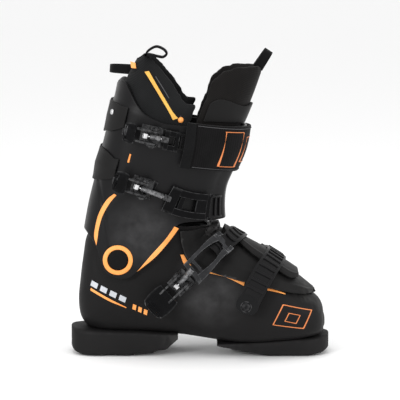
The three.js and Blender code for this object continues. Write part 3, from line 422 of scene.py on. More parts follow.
def prism(at: Matrix, outline: Outline, low: float, high: float, bevel: float = 0.4) -> Mesh:
    """Returns: an outline in X and Z of a frame, drawn out along its Y between two places."""
    bm = bmesh.new()
    face = bm.faces.new([bm.verts.new((x, low, z)) for x, z in outline])
    drawn = bmesh.ops.extrude_face_region(bm, geom=[face])
    moved = [g for g in drawn["geom"] if isinstance(g, bmesh.types.BMVert)]
    bmesh.ops.translate(bm, vec=(0, high - low, 0), verts=moved)
    bmesh.ops.recalc_face_normals(bm, faces=bm.faces[:])
    if bevel:
        soften(bm, bevel, 2, 50)
    bmesh.ops.transform(bm, matrix=at, verts=bm.verts[:])
    return bm


def towards(start: Vector, direction: Vector) -> Matrix:
    """Returns: a frame at a point with its Z along a direction."""
    return Matrix.Translation(start) @ direction.to_track_quat("Z", "Y").to_matrix().to_4x4()


def turned(at: Matrix, profile: Outline, steps: int = 32) -> Mesh:
    """Returns: radii and heights turned round a frame's Z; the profile ends on the axis or closes."""
    bm = bmesh.new()
    verts = [bm.verts.new((r, 0, h)) for r, h in profile]
    edges = [bm.edges.new(pair) for pair in zip(verts, verts[1:])]
    bmesh.ops.spin(bm, geom=verts + edges, cent=(0, 0, 0), axis=(0, 0, 1), dvec=(0, 0, 0), angle=2 * math.pi,
                   steps=steps, use_merge=True)
    weld(bm, 0.001)
    bmesh.ops.recalc_face_normals(bm, faces=bm.faces[:])
    bmesh.ops.transform(bm, matrix=at, verts=bm.verts[:])
    return bm


def pole(start: Vector, end: Vector, radius: float, bevel: float = 0.4, steps: int = 20) -> Mesh:
    """Returns: a round bar between two points with rounded ends."""
    length = (end - start).length
    b = min(bevel, radius * 0.6, length * 0.4)
    profile = [(0, 0), (radius - b, 0), (radius - b * 0.3, b * 0.3), (radius, b), (radius, length - b),
               (radius - b * 0.3, length - b * 0.3), (radius - b, length), (0, length)]
    return turned(towards(start, (end - start).normalized()), profile, steps)


class Shade(Enum):
    """How a piece's faces meet the light."""

    SMOOTH = "smooth"
    FLAT = "flat"


@dataclass
class Piece:
    """A finished piece: its mesh, what it rides on and what it is made of."""

    name: str
    mesh: Mesh
    body: str
    slot: str
    finish: "Finish"
    stands_for: tuple[str, ...] = ()
    wall: float = 0.0
    bevel: float = 0.0
    smooth: int = 0
    shade: Shade = Shade.SMOOTH

    def make(self) -> bpy.types.Object:
        """Returns: the object in the scene, riding on its body."""
        bmesh.ops.scale(self.mesh, vec=(MM, MM, MM), verts=self.mesh.verts[:])
        data = bpy.data.meshes.new(self.name)
        self.mesh.to_mesh(data)
        self.mesh.free()
        data.polygons.foreach_set("use_smooth", [self.shade is Shade.SMOOTH] * len(data.polygons))
        obj = bpy.data.objects.new(self.name, data)
        bpy.context.scene.collection.objects.link(obj)
        data.materials.append(self.finish.material())
        if self.wall:
            mod = obj.modifiers.new("wall", "SOLIDIFY")
            mod.thickness, mod.offset = self.wall * MM, -1
        if self.bevel:
            mod = obj.modifiers.new("edges", "BEVEL")
            mod.width, mod.segments, mod.limit_method = self.bevel * MM, 3, "ANGLE"
            mod.angle_limit = math.radians(40)
        if self.smooth:
            mod = obj.modifiers.new("smooth", "SUBSURF")
            mod.levels = mod.render_levels = self.smooth
        if self.shade is Shade.SMOOTH:
            obj.modifiers.new("normals", "WEIGHTED_NORMAL").keep_sharp = False
        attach(obj, self.body)
        if self.stands_for:
            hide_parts(*self.stands_for)
        LOG.info("%s: %d faces on %s", self.name, len(data.polygons), self.body)
        return obj


# ---------------------------------------------------------------- finishes
class Nodes:
    """A material's node tree, with short calls for what the finishes use."""

    def __init__(self, name: str) -> None:
        """Args: name: of the material."""
        self.material = bpy.data.materials.new(name)
        self.material.use_nodes = True
        self.tree = self.material.node_tree
        self.shader = self.tree.nodes["Principled BSDF"]
        self.where = self.add("ShaderNodeTexCoord").outputs["Object"]

    def add(self, kind: str, **values: object) -> bpy.types.Node:
        """Args: kind: node type; values: its properties or inputs. Returns: the node."""
        node = self.tree.nodes.new(kind)
        for key, value in values.items():
            if hasattr(node, key):
                setattr(node, key, value)
            else:
                node.inputs[key.replace("_", " ")].default_value = value
        return node

    def link(self, source: Socket, target: Socket) -> None:
        """Joins two sockets."""
        self.tree.links.new(source, target)

    def noise(self, scale: float, detail: float = 4, stretch: tuple[float, float, float] = (1, 1, 1),
              roughness: float = 0.55) -> Socket:
        """Returns: a noise over the object, at so many cells a metre."""
        node = self.add("ShaderNodeTexNoise", Scale=scale, Detail=detail, Roughness=roughness)
        return self.mapped(node, "Scale", stretch)

    def mapped(self, node: bpy.types.Node, key: str, value: Sequence[float]) -> Socket:
        """Args: key, value: what its mapping is set to. Returns: a texture node's value over the object."""
        mapping = self.add("ShaderNodeMapping")
        mapping.inputs[key].default_value = value
        self.link(self.where, mapping.inputs["Vector"])
        self.link(mapping.outputs["Vector"], node.inputs["Vector"])
        return node.outputs["Fac"]

    def wave(self, scale: float, turn: tuple[float, float, float], distortion: float = 0.0) -> Socket:
        """Returns: parallel ribs, turned by angles in degrees."""
        node = self.add("ShaderNodeTexWave", Scale=scale, Distortion=distortion, Detail=1.0)
        return self.mapped(node, "Rotation", [math.radians(a) for a in turn])

    def ramp(self, source: Socket, low: float, high: float, to_low: float = 0.0,
             to_high: float = 1.0) -> Socket:
        """Returns: the value stretched from one range to another and held at its ends."""
        node = self.add("ShaderNodeMapRange")
        for key, value in (("From Min", low), ("From Max", high), ("To Min", to_low), ("To Max", to_high)):
            node.inputs[key].default_value = value
        self.link(source, node.inputs["Value"])
        return node.outputs["Result"]

    def times(self, a: Socket, b: Socket | float) -> Socket:
        """Returns: the product of two values."""
        node = self.add("ShaderNodeMath", operation="MULTIPLY")
        self.link(a, node.inputs[0])
        if isinstance(b, (int, float)):
            node.inputs[1].default_value = b
        else:
            self.link(b, node.inputs[1])
        return node.outputs[0]

    def mix(self, share: Socket, a: Sequence[float] | Socket,
            b: Sequence[float]) -> Socket:
        """Returns: a colour between two."""
        node = self.add("ShaderNodeMix", data_type="RGBA")
        self.link(share, node.inputs[0])
        if isinstance(a, Socket):
            self.link(a, node.inputs[6])
        else:
            node.inputs[6].default_value = (*a, 1)
        node.inputs[7].default_value = (*b, 1)
        return node.outputs[2]

    def bump(self, height: Socket, depth: float, strength: float = 1.0,
             after: Socket | None = None) -> Socket:
        """Returns: a normal bent by a height, in metres deep."""
        node = self.add("ShaderNodeBump", Distance=depth, Strength=strength)
        self.link(height, node.inputs["Height"])
        if after is not None:
            self.link(after, node.inputs["Normal"])
        return node.outputs["Normal"]

    def surface(self, colour: Socket, normal: Socket, **values: object) -> None:
        """Args: values: sockets or constants for the shader's other inputs, named with underscores."""
        sockets = {socket.name.replace(" ", "_").lower(): socket for socket in self.shader.inputs}
        for key, value in {"base_color": colour, "normal": normal, **values}.items():
            if isinstance(value, Socket):
                self.link(value, sockets[key])
            else:
                sockets[key].default_value = value

    def edges(self, low: float = 0.52, high: float = 0.62) -> Socket:
        """Returns: where the surface is a sharp edge, 0 to 1; the scuffed edges it picks out also carry
        painted highlights.
        """
        return self.ramp(self.add("ShaderNodeNewGeometry").outputs["Pointiness"], low, high)


def tint(colour: Sequence[float], by: float) -> tuple[float, float, float]:
    """Returns: a colour made lighter or darker by a factor."""
    return tuple(min(1.0, c * by) for c in colour)


@dataclass(frozen=True)
class Finish:
    """A finish, with the colour that is the same all over."""

    name: str
    colour: tuple[float, float, float]
    rough: float = 0.5

    def material(self) -> bpy.types.Material:
        """Returns: the finish's material, made once."""
        made = bpy.data.materials.get(f"{self.name}_finish")
        if made is None:
            nodes = Nodes(f"{self.name}_finish")
            self.dress(nodes)
            made = nodes.material
        return made

    def dress(self, n: Nodes) -> None:
        """Args: n: the nodes to set."""
        raise NotImplementedError


@dataclass(frozen=True)
class Moulded(Finish):
    """Injection-moulded plastic with a fine grain, faint flow marks, pale scuffed edges that also serve as
    painted edge highlights, local scuffs and soft painted highlight patches.
    """

    grain: float = 0.00006
    edge_wear_and_glint: float = 0.35
    shine: float = 0.1
    scuffs: tuple[tuple[float, float, float, float], ...] = ()
    painted_highlights: tuple[tuple[float, float, float, float], ...] = ()

    def near(self, n: Nodes, spot: Sequence[float]) -> Socket:
        """Returns: one at a spot, given as x, y, z and radius, falling to none at its rim."""
        away = n.add("ShaderNodeVectorMath", operation="DISTANCE")
        n.link(n.where, away.inputs[0])
        away.inputs[1].default_value = spot[:3]
        return n.ramp(away.outputs["Value"], spot[3], spot[3] * 0.3)

    def dress(self, n: Nodes) -> None:
        """Args: n: the nodes to set."""
        flow = n.ramp(n.noise(9, 3), 0.3, 0.7)
        colour = n.mix(flow, tint(self.colour, 0.85), tint(self.colour, 1.25))
        # Pale edge lines: partly scuffing and partly painted highlight where light catches sharp edges.
        rubbed_and_glinting_edge = n.times(n.edges(), n.ramp(n.noise(120, 5), 0.35, 0.65))
        colour = n.mix(n.times(rubbed_and_glinting_edge, self.edge_wear_and_glint), colour, tint(self.colour, 7))
        for spot in self.scuffs:
            rubbed = n.times(self.near(n, spot), n.ramp(n.noise(160, 6, (1, 1, 0.35)), 0.42, 0.66))
            colour = n.mix(n.times(rubbed, 0.3), colour, (0.1, 0.1, 0.095))
        # Painted highlights: soft pale patches mixed into the colour where light would gleam on the surface.
        for spot in self.painted_highlights:
            highlight_share = n.times(self.near(n, spot), n.ramp(n.noise(60, 6), 0.15, 0.85))
            colour = n.mix(n.times(highlight_share, 0.6), colour, (0.075, 0.074, 0.076))
        dents = n.bump(n.noise(60, 2), 0.0002, 0.25)
        n.surface(colour, n.bump(n.noise(2600, 2), self.grain, 0.5, dents), specular_ior_level=self.shine,
                 roughness=n.ramp(n.noise(45, 6), 0.3, 0.7, self.rough - 0.07, self.rough + 0.08))


@dataclass(frozen=True)
class Printed(Finish):
    """A smooth coloured trim with faint streaks and small chips to the dark plastic under it."""

    deep: tuple[float, float, float] = (0.8, 0.2, 0.03)

    def dress(self, n: Nodes) -> None:
        """Args: n: the nodes to set."""
        colour = n.mix(n.ramp(n.noise(28, 3), 0.3, 0.7), self.deep, self.colour)
        colour = n.mix(n.times(n.ramp(n.noise(420, 5), 0.66, 0.74), 0.5), colour, (0.05, 0.03, 0.02))
        n.surface(colour, n.bump(n.noise(1400, 2), 0.00004, 0.4),
                 roughness=n.ramp(n.noise(90, 4), 0.3, 0.7, self.rough - 0.06, self.rough + 0.1))


@dataclass(frozen=True)
class Coated(Finish):
    """Cast metal under a dark satin coat that is rubbed bright on its edges; the bright edges are partly bare
    metal from scuffing and partly painted glints.
    """

    bare: tuple[float, float, float] = (0.42, 0.42, 0.43)
    metal: float = 0.75
    edge_wear_and_glint: float = 0.8
    shine: float = 0.15

    def dress(self, n: Nodes) -> None:
        """Args: n: the nodes to set."""
        colour = n.mix(n.ramp(n.noise(70, 4), 0.3, 0.7), tint(self.colour, 0.8), tint(self.colour, 1.4))
        # Bright edges: partly bare metal from scuffing, partly painted glints where light catches the edges.
        rubbed_and_glinting_edge = n.times(n.edges(0.51, 0.6), n.ramp(n.noise(260, 5), 0.3, 0.6))
        colour = n.mix(n.times(rubbed_and_glinting_edge, self.edge_wear_and_glint), colour, self.bare)
        n.surface(colour, n.bump(n.noise(1900, 3), 0.00005, 0.4), metallic=self.metal,
                  specular_ior_level=self.shine,
                 roughness=n.ramp(n.noise(180, 5), 0.3, 0.7, self.rough - 0.08, self.rough + 0.12))


@dataclass(frozen=True)
class Bare(Finish):
    """Turned bare steel with fine marks."""

    def dress(self, n: Nodes) -> None:
        """Args: n: the nodes to set."""
        colour = n.mix(n.ramp(n.noise(300, 4), 0.3, 0.7), tint(self.colour, 0.7), self.colour)
        n.surface(colour, n.bump(n.noise(2400, 3, (1, 1, 5)), 0.00003, 0.5), metallic=1.0,
                 roughness=n.ramp(n.noise(500, 5, (1, 1, 6)), 0.3, 0.7, self.rough - 0.08, self.rough + 0.1))


@dataclass(frozen=True)
class Webbing(Finish):
    """Ribbed webbing: upright ribs crossed by fine picks, with a soft sheen."""

    ribs: float = 150
    turn: tuple[float, float, float] = (0, 8, 0)

    def dress(self, n: Nodes) -> None:
        """Args: n: the nodes to set."""
        ribs = n.wave(self.ribs, self.turn, 0.4)
        picks = n.wave(self.ribs * 2.6, (self.turn[0], self.turn[1] + 90, 0), 0.6)
        colour = n.mix(n.ramp(ribs, 0, 1), tint(self.colour, 0.75), tint(self.colour, 1.3))
        colour = n.mix(n.times(n.ramp(n.noise(35, 4), 0.4, 0.75), 0.35), colour, tint(self.colour, 2.6))
        n.surface(colour, n.bump(picks, 0.00012, 0.5, n.bump(ribs, 0.00022, 0.5)), roughness=self.rough,
                 sheen_weight=0.06, sheen_roughness=0.5, specular_ior_level=0.05)


@dataclass(frozen=True)
class Knit(Finish):
    """Padded lining cloth: a fine diagonal knit over soft foam."""

    pitch: float = 240
    sheen: float = 0.06

    def dress(self, n: Nodes) -> None:
        """Args: n: the nodes to set."""
        one, two = n.wave(self.pitch, (0, 45, 20), 0.8), n.wave(self.pitch, (0, -45, -20), 0.8)
        weave = n.times(one, two)
        colour = n.mix(n.ramp(weave, 0, 0.8), tint(self.colour, 0.65), tint(self.colour, 1.5))
        colour = n.mix(n.times(n.ramp(n.noise(22, 4), 0.35, 0.75), 0.4), colour, tint(self.colour, 2.0))
        soft = n.bump(n.noise(70, 3), 0.0008, 0.35)
        n.surface(colour, n.bump(weave, 0.00025, 0.6, soft), roughness=self.rough, sheen_weight=self.sheen,
                 sheen_roughness=0.45, specular_ior_level=0.05)


BLACK = (0.0078, 0.0074, 0.0075)
# The shell's pale patch on the forefoot is a painted highlight; its scuff spots are real scuffs.
SHELL_PLASTIC = Moulded("shell_plastic", BLACK, 0.5, painted_highlights=((0.012, -0.045, 0.082, 0.05),), scuffs=(
    (0.122, -0.03, 0.078, 0.018), (0.141, -0.02, 0.055, 0.022), (0.146, 0.01, 0.045, 0.02),
    (-0.145, -0.01, 0.045, 0.014)))
# Flap edges: strong pale edge lines, partly scuffing and partly painted highlight.
FLAP_PLASTIC = Moulded("flap_plastic", (0.0085, 0.0082, 0.0082), 0.5, edge_wear_and_glint=0.7,
                       scuffs=((0.124, -0.02, 0.08, 0.02),))
# The cuff's pale patch on the lower cuff is a painted highlight.
CUFF_PLASTIC = Moulded("cuff_plastic", (0.0062, 0.006, 0.0064), 0.36, shine=0.13,
                       scuffs=((-0.1, -0.02, 0.31, 0.02),),
                       painted_highlights=((-0.066, -0.045, 0.15, 0.045),))
END_PLASTIC = Moulded("strap_end_plastic", (0.006, 0.006, 0.0064), 0.42, shine=0.1)
SOLE_PLASTIC = Moulded("sole_plastic", (0.0112, 0.0108, 0.011), 0.62, grain=0.00012, edge_wear_and_glint=0.7, scuffs=(
    (0.15, 0, 0.02, 0.03), (-0.15, 0, 0.02, 0.025), (-0.02, -0.035, 0.015, 0.03)))
CAP_PLASTIC = Moulded("cap_plastic", (0.005, 0.005, 0.0052), 0.6, shine=0.08)
ORANGE = Printed("orange_trim", (0.95, 0.42, 0.11), 0.42, (0.88, 0.29, 0.05))
ORANGE_LINE = Printed("orange_line", (0.78, 0.25, 0.07), 0.5, (0.6, 0.16, 0.04))
PALE_PRINT = Printed("pale_print", (0.62, 0.64, 0.68), 0.5, (0.45, 0.47, 0.5))
BUCKLE_COAT = Coated("buckle_coat", (0.008, 0.008, 0.0085), 0.36, metal=0.2, edge_wear_and_glint=0.6)
BAIL_COAT = Coated("bail_coat", (0.026, 0.0264, 0.028), 0.28, metal=0.55, edge_wear_and_glint=0.7)
BLACK_COAT = Coated("black_coat", (0.0022, 0.0022, 0.0025), 0.26, metal=0.0, edge_wear_and_glint=0.25, shine=0.06)
STEEL = Bare("bare_steel", (0.72, 0.72, 0.73), 0.25)
WEB = Webbing("strap_webbing", (0.0046, 0.0044, 0.0046), 0.85)
WEB_LOOP = Webbing("loop_webbing", (0.0055, 0.0055, 0.0058), 0.85, ribs=260, turn=(0, 0, 0))
LINER = Knit("liner_knit", (0.0105, 0.0108, 0.0112), 0.85)
TONGUE_LINING = Knit("tongue_lining", (0.0078, 0.0071, 0.0068), 0.7, pitch=190)
THREAD = Printed("thread", (0.07, 0.07, 0.072), 0.8, (0.04, 0.04, 0.042))
PIPING = Knit("orange_pad", (0.9, 0.4, 0.09), 0.65, pitch=300)


# ---------------------------------------------------------------- between two edges of the side view
def between(form: Form, first: Outline, second: Outline, side: int = -1, smooth: bool = True) -> Spot:
    """Args: first, second: edges as side-view points. Returns: the spots between them on one side."""
    one, two = Curve(first, smooth), Curve(second, smooth)

    def spot(u: Array, v: Array) -> Pair:
        """Spots at shares along and across the edges."""
        p = one.at(u) * (1 - v)[:, None] + two.at(u) * v[:, None]
        return form.seen_at(p[:, 0], p[:, 1], side)

    return spot


def edge_by_angle(form: Form, outline: Outline, side: int = -1) -> Callable[[Array], Array]:
    """Args: outline: side-view points of an edge round the form. Returns: its place at any angle."""
    pts = Curve(outline).at(np.linspace(0, 1, 160))
    place, degrees = form.seen_at(pts[:, 0], pts[:, 1], side)
    order = np.argsort(degrees)

    def at(angle: Array) -> Array:
        """The edge's place at angles, the same on both sides of the boot."""
        folded = np.abs((np.asarray(angle) + 180) % 360 - 180)
        return np.interp(folded, degrees[order], place[order])

    return at


# ---------------------------------------------------------------- sub-assemblies
@dataclass
class LowerShell:
    """The clog: a moulded shell, its two instep flaps, and the coloured line where they meet."""

    top_place: float = 18.9
    around: int = 176
    along: int = 120
    lap: float = 22.0
    lower_edge: Outline = ((-24, 150), (-22, 134), (-15, 117), (2, 106), (24, 98), (51, 90.5), (77, 84),
                           (100, 77.5),
                           (124, 72), (131, 72))
    upper_edge: Outline = ((22, 138), (41, 127), (60, 113), (84, 98), (100, 88), (109, 86))

    def shell(self) -> Piece:
        """Returns: the shell, open at the top."""
        spot = lambda u, v: (-0.999 + (self.top_place + 0.999) * v, 360 * u)

        def relief(u: Array, v: Array) -> Array:
            """A welt just over the sole and a shallow trough round the ankle boss."""
            p = SHELL.point(*spot(u, v))
            welt = 0.9 * np.exp(-((p[:, 2] - 33) / 3.0) ** 2) * np.clip((-p[:, 0] - 60) / 40, 0, 1)
            away = np.hypot(p[:, 0] - SIZE.pivot[0], p[:, 2] - SIZE.pivot[1])
            trough = -1.2 * np.exp(-((away - 27) / 4) ** 2)
            return welt + trough

        bm = weld(lay(SHELL, spot, self.around, self.along, relief), 0.05)
        return Piece("shell_moulding", bm, "shell", "shell_plastic", SHELL_PLASTIC, ("lower_shell",),
                     wall=SIZE.shell_wall - 0.6)

    def flap(self, name: str, edge: Outline, low: float, high: float, lap: float) -> Piece:
        """Args: edge: its outer edge in the side view; low, high: its heights; lap: to the inner side."""
        line = Curve(edge)

        def spot(u: Array, v: Array) -> Pair:
            """From the outer edge over the ridge to the lap on the inner side."""
            p = line.at(u)
            place, degrees = SHELL.seen_at(p[:, 0], p[:, 1], -1)
            half = SHELL.rows(place)[:, 4]
            end = 180 + np.degrees(np.arcsin(np.clip(lap / half, 0, 0.9)))
            return place, degrees + (end - degrees) * v

        def rise(u: Array, v: Array) -> Array:
            """Full height, let down to the shell along the outer edge."""
            return high - 1.6 * np.exp(-(v / 0.03) ** 2) + 0.8 * np.exp(-((v - 0.14) / 0.04) ** 2)

        return Piece(name, lay(SHELL, spot, 110, 60, rise), "shell", "flap_plastic", FLAP_PLASTIC,
                     (name.replace("_moulding", ""),), wall=high - low - 0.2, bevel=1.6)

    def stripe(self, name: str, first: Outline, second: Outline, rise: float) -> Piece:
        """Returns: a coloured stripe laid in the crease."""
        bm = lay(SHELL, between(SHELL, first, second), 40, 5, rise)
        return Piece(name, bm, "shell", "orange_trim", ORANGE, wall=1.0, bevel=0.25)

    def build(self) -> None:
        """Makes the shell's pieces."""
        self.shell().make()
        self.flap("instep_lower_flap_moulding", self.lower_edge, SIZE.gap, FLAP_RISE, self.lap).make()
        self.flap("instep_upper_flap_moulding", self.upper_edge, FLAP_RISE + SIZE.gap, 2 * FLAP_RISE,
                  18).make()
        self.stripe("crease_stripe_rear", ((-23, 122), (-19, 112), (-14, 107)),
                    ((-19, 122), (-14, 114), (-10, 110)),
                    1.2).make()
        self.stripe("crease_stripe_middle", ((9, 101), (30, 96.5), (51, 87)),
                    ((8, 103.5), (28, 102), (52, 91.5)),
                    1.2).make()
        self.stripe("crease_stripe_front", ((72, 83), (86, 80), (99, 76.2)),
                    ((72, 85.4), (86, 82), (99, 77.2)),
                    1.2).make()


@dataclass
class Soles:
    """The heel and toe blocks, stepped and grooved where they meet the ground."""

    length: float = 305.0
    width: float = 70.0
    heel_height: float = 32.0
    toe_height: float = 23.0

    def block(self, name: str, node: str, stations: Sequence[tuple[float, float, float, float]]) -> Piece:
        """Args: stations: X, half width, bottom and top along the block. Returns: the lofted block."""
        line = Curve(stations, False)
        bm, u, v = grid(150, 32)
        p = line.at(u)
        a = 2 * np.pi * v
        power = 0.28
        cy, sz = np.cos(a), np.sin(a)
        y = np.sign(cy) * np.abs(cy) ** power * p[:, 1]
        z = (p[:, 2] + p[:, 3]) / 2 + np.sign(sz) * np.abs(sz) ** power * (p[:, 3] - p[:, 2]) / 2
        place_verts(bm, np.stack([p[:, 0], y, z], axis=1))
        weld(bm, 0.02)
        bmesh.ops.holes_fill(bm, edges=[e for e in bm.edges if e.is_boundary], sides=0)
        bmesh.ops.recalc_face_normals(bm, faces=bm.faces[:])
        return Piece(name, bm, "shell", "sole_plastic", SOLE_PLASTIC, (node,))

    def rounded(self, end: float, start: float, depth: float, profile: Callable[[float], tuple[float, float]]
                ) -> list[tuple[float, float, float, float]]:
        """Returns: stations from a square start to a round end."""
        sign = 1 if end > start else -1
        rows = []
        flat_end = end - sign * depth
        for t in np.linspace(0, 1, 40):
            x = start + (flat_end - start) * t
            rows.append((x, self.width / 2, *profile(x)))
        for a in np.linspace(8, 88, 12):
            x = flat_end + sign * depth * math.sin(math.radians(a))
            rows.append((x, self.width / 2 * math.cos(math.radians(a)) ** 0.62, *profile(x)))
        return rows

    def heel_profile(self, x: float) -> tuple[float, float]:
        """Returns: bottom and top of the heel block at X."""
        bottom = float(np.interp(x, [-152.5, -148, -138, -79, -74, -55, -53, -41, -26],
                                 [9, 3.5, 0.0, 0.0, 2.6, 2.6, 5.2, 5.5, 20]))
        step = 0.8 * (math.sin(x / 9.5) > 0.82)
        top = float(np.interp(x, [-152.5, -140, -70, -26], [self.heel_height, 31.6, 30, 27]))
        return bottom + (step if x > -140 else 0), top

    def toe_profile(self, x: float) -> tuple[float, float]:
        """Returns: bottom and top of the toe block at X."""
        bottom = float(np.interp(x, [20, 31, 45, 78, 128, 143, 152.5], [12.5, 9, 6, 0.2, 0.0, 2.2, 7.5]))
        step = 0.7 * (math.sin(x / 4.2) > 0.6) if 24 < x < 74 else 0.0
        top = float(np.interp(x, [20, 60, 110, 152.5], [15.0, 17.5, 21.5, self.toe_height]))
        return bottom + step, top

    def build(self) -> None:
        """Makes both blocks."""
        self.block("heel_block_moulding", "heel_sole_block",
                   self.rounded(-self.length / 2, -26, 34, self.heel_profile)).make()
        self.block("toe_block_moulding", "toe_sole_block",
                   self.rounded(self.length / 2, 20, 34, self.toe_profile)).make()


@dataclass
class Cuff:
    """The cuff with its pivot rings, spine yoke, strap anchor and painted lines."""

    around: int = 200
    rows: int = 84
    front: float = 172.0
    lower: Outline = ((-145, 152), (-135, 150), (-126, 141), (-120, 132), (-116, 119), (-110, 104.5),
                      (-102, 98),
                      (-94.5, 95.6), (-86, 96), (-79, 98.5), (-70, 107), (-54.5, 122), (-40, 141),
                      (-29, 154.5),
                      (-22, 160), (-8, 161.5), (10, 161.5), (32, 161.5))
    upper: Outline = ((-110, 319), (-99, 321), (-92, 325), (-86, 321), (-80, 311), (-75, 302), (-69, 294),
                      (-60, 286),
                      (-48.6, 280), (-38, 276.5), (-20, 274.5), (10, 272.5), (54, 271))

    def skin(self) -> Piece:
        """Returns: the cuff, its outer half lapping over the inner one at the front."""
        low, high = edge_by_angle(CUFF, self.lower), edge_by_angle(CUFF, self.upper)
        start, end = -self.front, 196.0

        def spot(u: Array, v: Array) -> Pair:
            """Round the cuff, from its lower edge to its upper one."""
            angle = start + (end - start) * u
            held = np.clip(angle, -178, 178)
            return low(held) * (1 - v) + high(held) * v, angle

        def relief(u: Array, v: Array) -> Array:
            """The lap's lift, the waist crease and the raised panel round the pivot."""
            angle = start + (end - start) * u
            p = CUFF.point(*spot(u, v))
            lap = 4.6 * np.clip((angle - 150) / 18, 0, 1) ** 1.5
            crease = -0.9 * np.exp(-((p[:, 0] + 0.18 * (p[:, 2] - 200) + 116) / 2.2) ** 2) * (p[:, 2] < 262)
            away = np.hypot(p[:, 0] - SIZE.pivot[0], p[:, 2] - SIZE.pivot[1])
            seat = 0.5 / (1 + np.exp((away - 20) / 0.8))
            top = -1.3 / (1 + np.exp(-(p[:, 2] - (298 - 0.35 * (p[:, 0] + 90))) / 1.2)) * (p[:, 0] < -40)
            return lap + crease + seat + top

        bm = lay(CUFF, spot, self.around, self.rows, relief)
        return Piece("cuff_moulding", bm, "cuff", "cuff_plastic", CUFF_PLASTIC, ("cuff",),
                     wall=SIZE.cuff_wall - 0.8,
                     bevel=1.0)

    def pivot(self, side: int, label: str) -> None:
        """Args: side: -1 outer, 1 inner; label: its name. Makes the ring and the cap of one ankle pivot."""
        low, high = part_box(f"pivot_ring_{label}")
        face = (low[1] if side > 0 else high[1]) / MM
        seat = towards(Vector((SIZE.pivot[0], face, SIZE.pivot[1])), Vector((0, side, 0)))
        ring = turned(seat, [(12.2, -0.8), (17.3, -0.8), (17.4, 1.2), (16.9, 2.0), (15.9, 2.35), (13.4, 2.35),
                             (12.5, 1.9), (12.2, 1.1), (12.2, -0.8)], 72)
        Piece(f"pivot_ring_trim_{label}", ring, "cuff", "orange_trim", ORANGE,
              (f"pivot_ring_{label}",)).make()
        cap = turned(seat, [(0, 1.1), (6, 1.1), (9.5, 0.9), (11.2, 0.6), (11.95, 0.2), (11.95, -0.6),
                            (0, -0.6)], 64)
        Piece(f"pivot_cap_moulding_{label}", cap, "cuff", "cuff_plastic", CAP_PLASTIC,
              (f"pivot_cap_{label}",)).make()

    def round_back(self, name: str, node: str, lower: Outline, upper: Outline, high: float,
                   ridge: float) -> Piece:
        """Returns: a band round the back between two edges, with a ridge along its middle."""
        low, top = edge_by_angle(CUFF, lower), edge_by_angle(CUFF, upper)
        reach = float(CUFF.seen_at(lower[-1][0], lower[-1][1])[1][0])
        spot = lambda u, v: (low((2 * u - 1) * reach) * (1 - v) + top((2 * u - 1) * reach) * v,
                             (2 * u - 1) * reach)
        rise = lambda u, v: high - 0.4 + ridge * np.clip(1 - np.abs(2 * v - 1) * 1.3, 0, 1)
        return Piece(name, lay(CUFF, spot, 90, 24, rise), "cuff", "flap_plastic", FLAP_PLASTIC, (node,),
                     wall=2.4,
                     bevel=0.8)

    def line(self, name: str, first: Outline, second: Outline) -> Piece:
        """Returns: a painted stripe that stands a little proud."""
        bm = lay(CUFF, between(CUFF, first, second), 48, 4, 0.28)
        return Piece(name, bm, "cuff", "orange_trim", ORANGE, wall=0.6)

    def build(self) -> None:
        """Makes the cuff's pieces."""
        self.skin().make()
        self.pivot(-1, "outer")
        self.pivot(1, "inner")
        self.round_back("spine_yoke_moulding", "spine_yoke", ((-135, 207), (-118, 209), (-98, 213)),
                        ((-135, 245), (-112, 246), (-98, 236)), 3.0, 1.4).make()
        self.round_back("strap_anchor_moulding", "strap_anchor", ((-125, 265), (-104, 266), (-86, 272)),
                        ((-125, 300), (-104, 301), (-86, 296)), 3.3, 0.5).make()
        self.line("rear_line", ((-99, 195), (-108, 187), (-117, 171), (-121.5, 154), (-122.5, 143),
                                (-120, 134)),
                  ((-96, 193.5), (-104, 184), (-112.5, 169), (-117, 154), (-118.5, 144), (-120, 134))).make()
        self.line("front_line", ((-73, 104), (-57, 123), (-40, 142), (-29.5, 157)),
                  ((-73, 104), (-52, 121), (-36, 139), (-24.5, 154.5))).make()
        self.line("short_dash", ((-80.5, 242), (-83.5, 232)), ((-78.8, 241.4), (-81.3, 231.6))).make()
        spot = outer(CUFF, -98, 288)
        at, out = CUFF.point(*spot)[0], CUFF.normal(*spot)[0]
        seat = towards(Vector(at) + Vector(out) * 3.1, Vector(out))
        head = turned(seat, [(0, 1.1), (1.0, 1.0), (1.15, 1.9), (2.6, 1.7), (3.3, 0.9), (3.4, 0), (0, 0)], 32)
        Piece("anchor_screw_head", head, "cuff", "steel", STEEL, ("strap_anchor_screw",)).make()


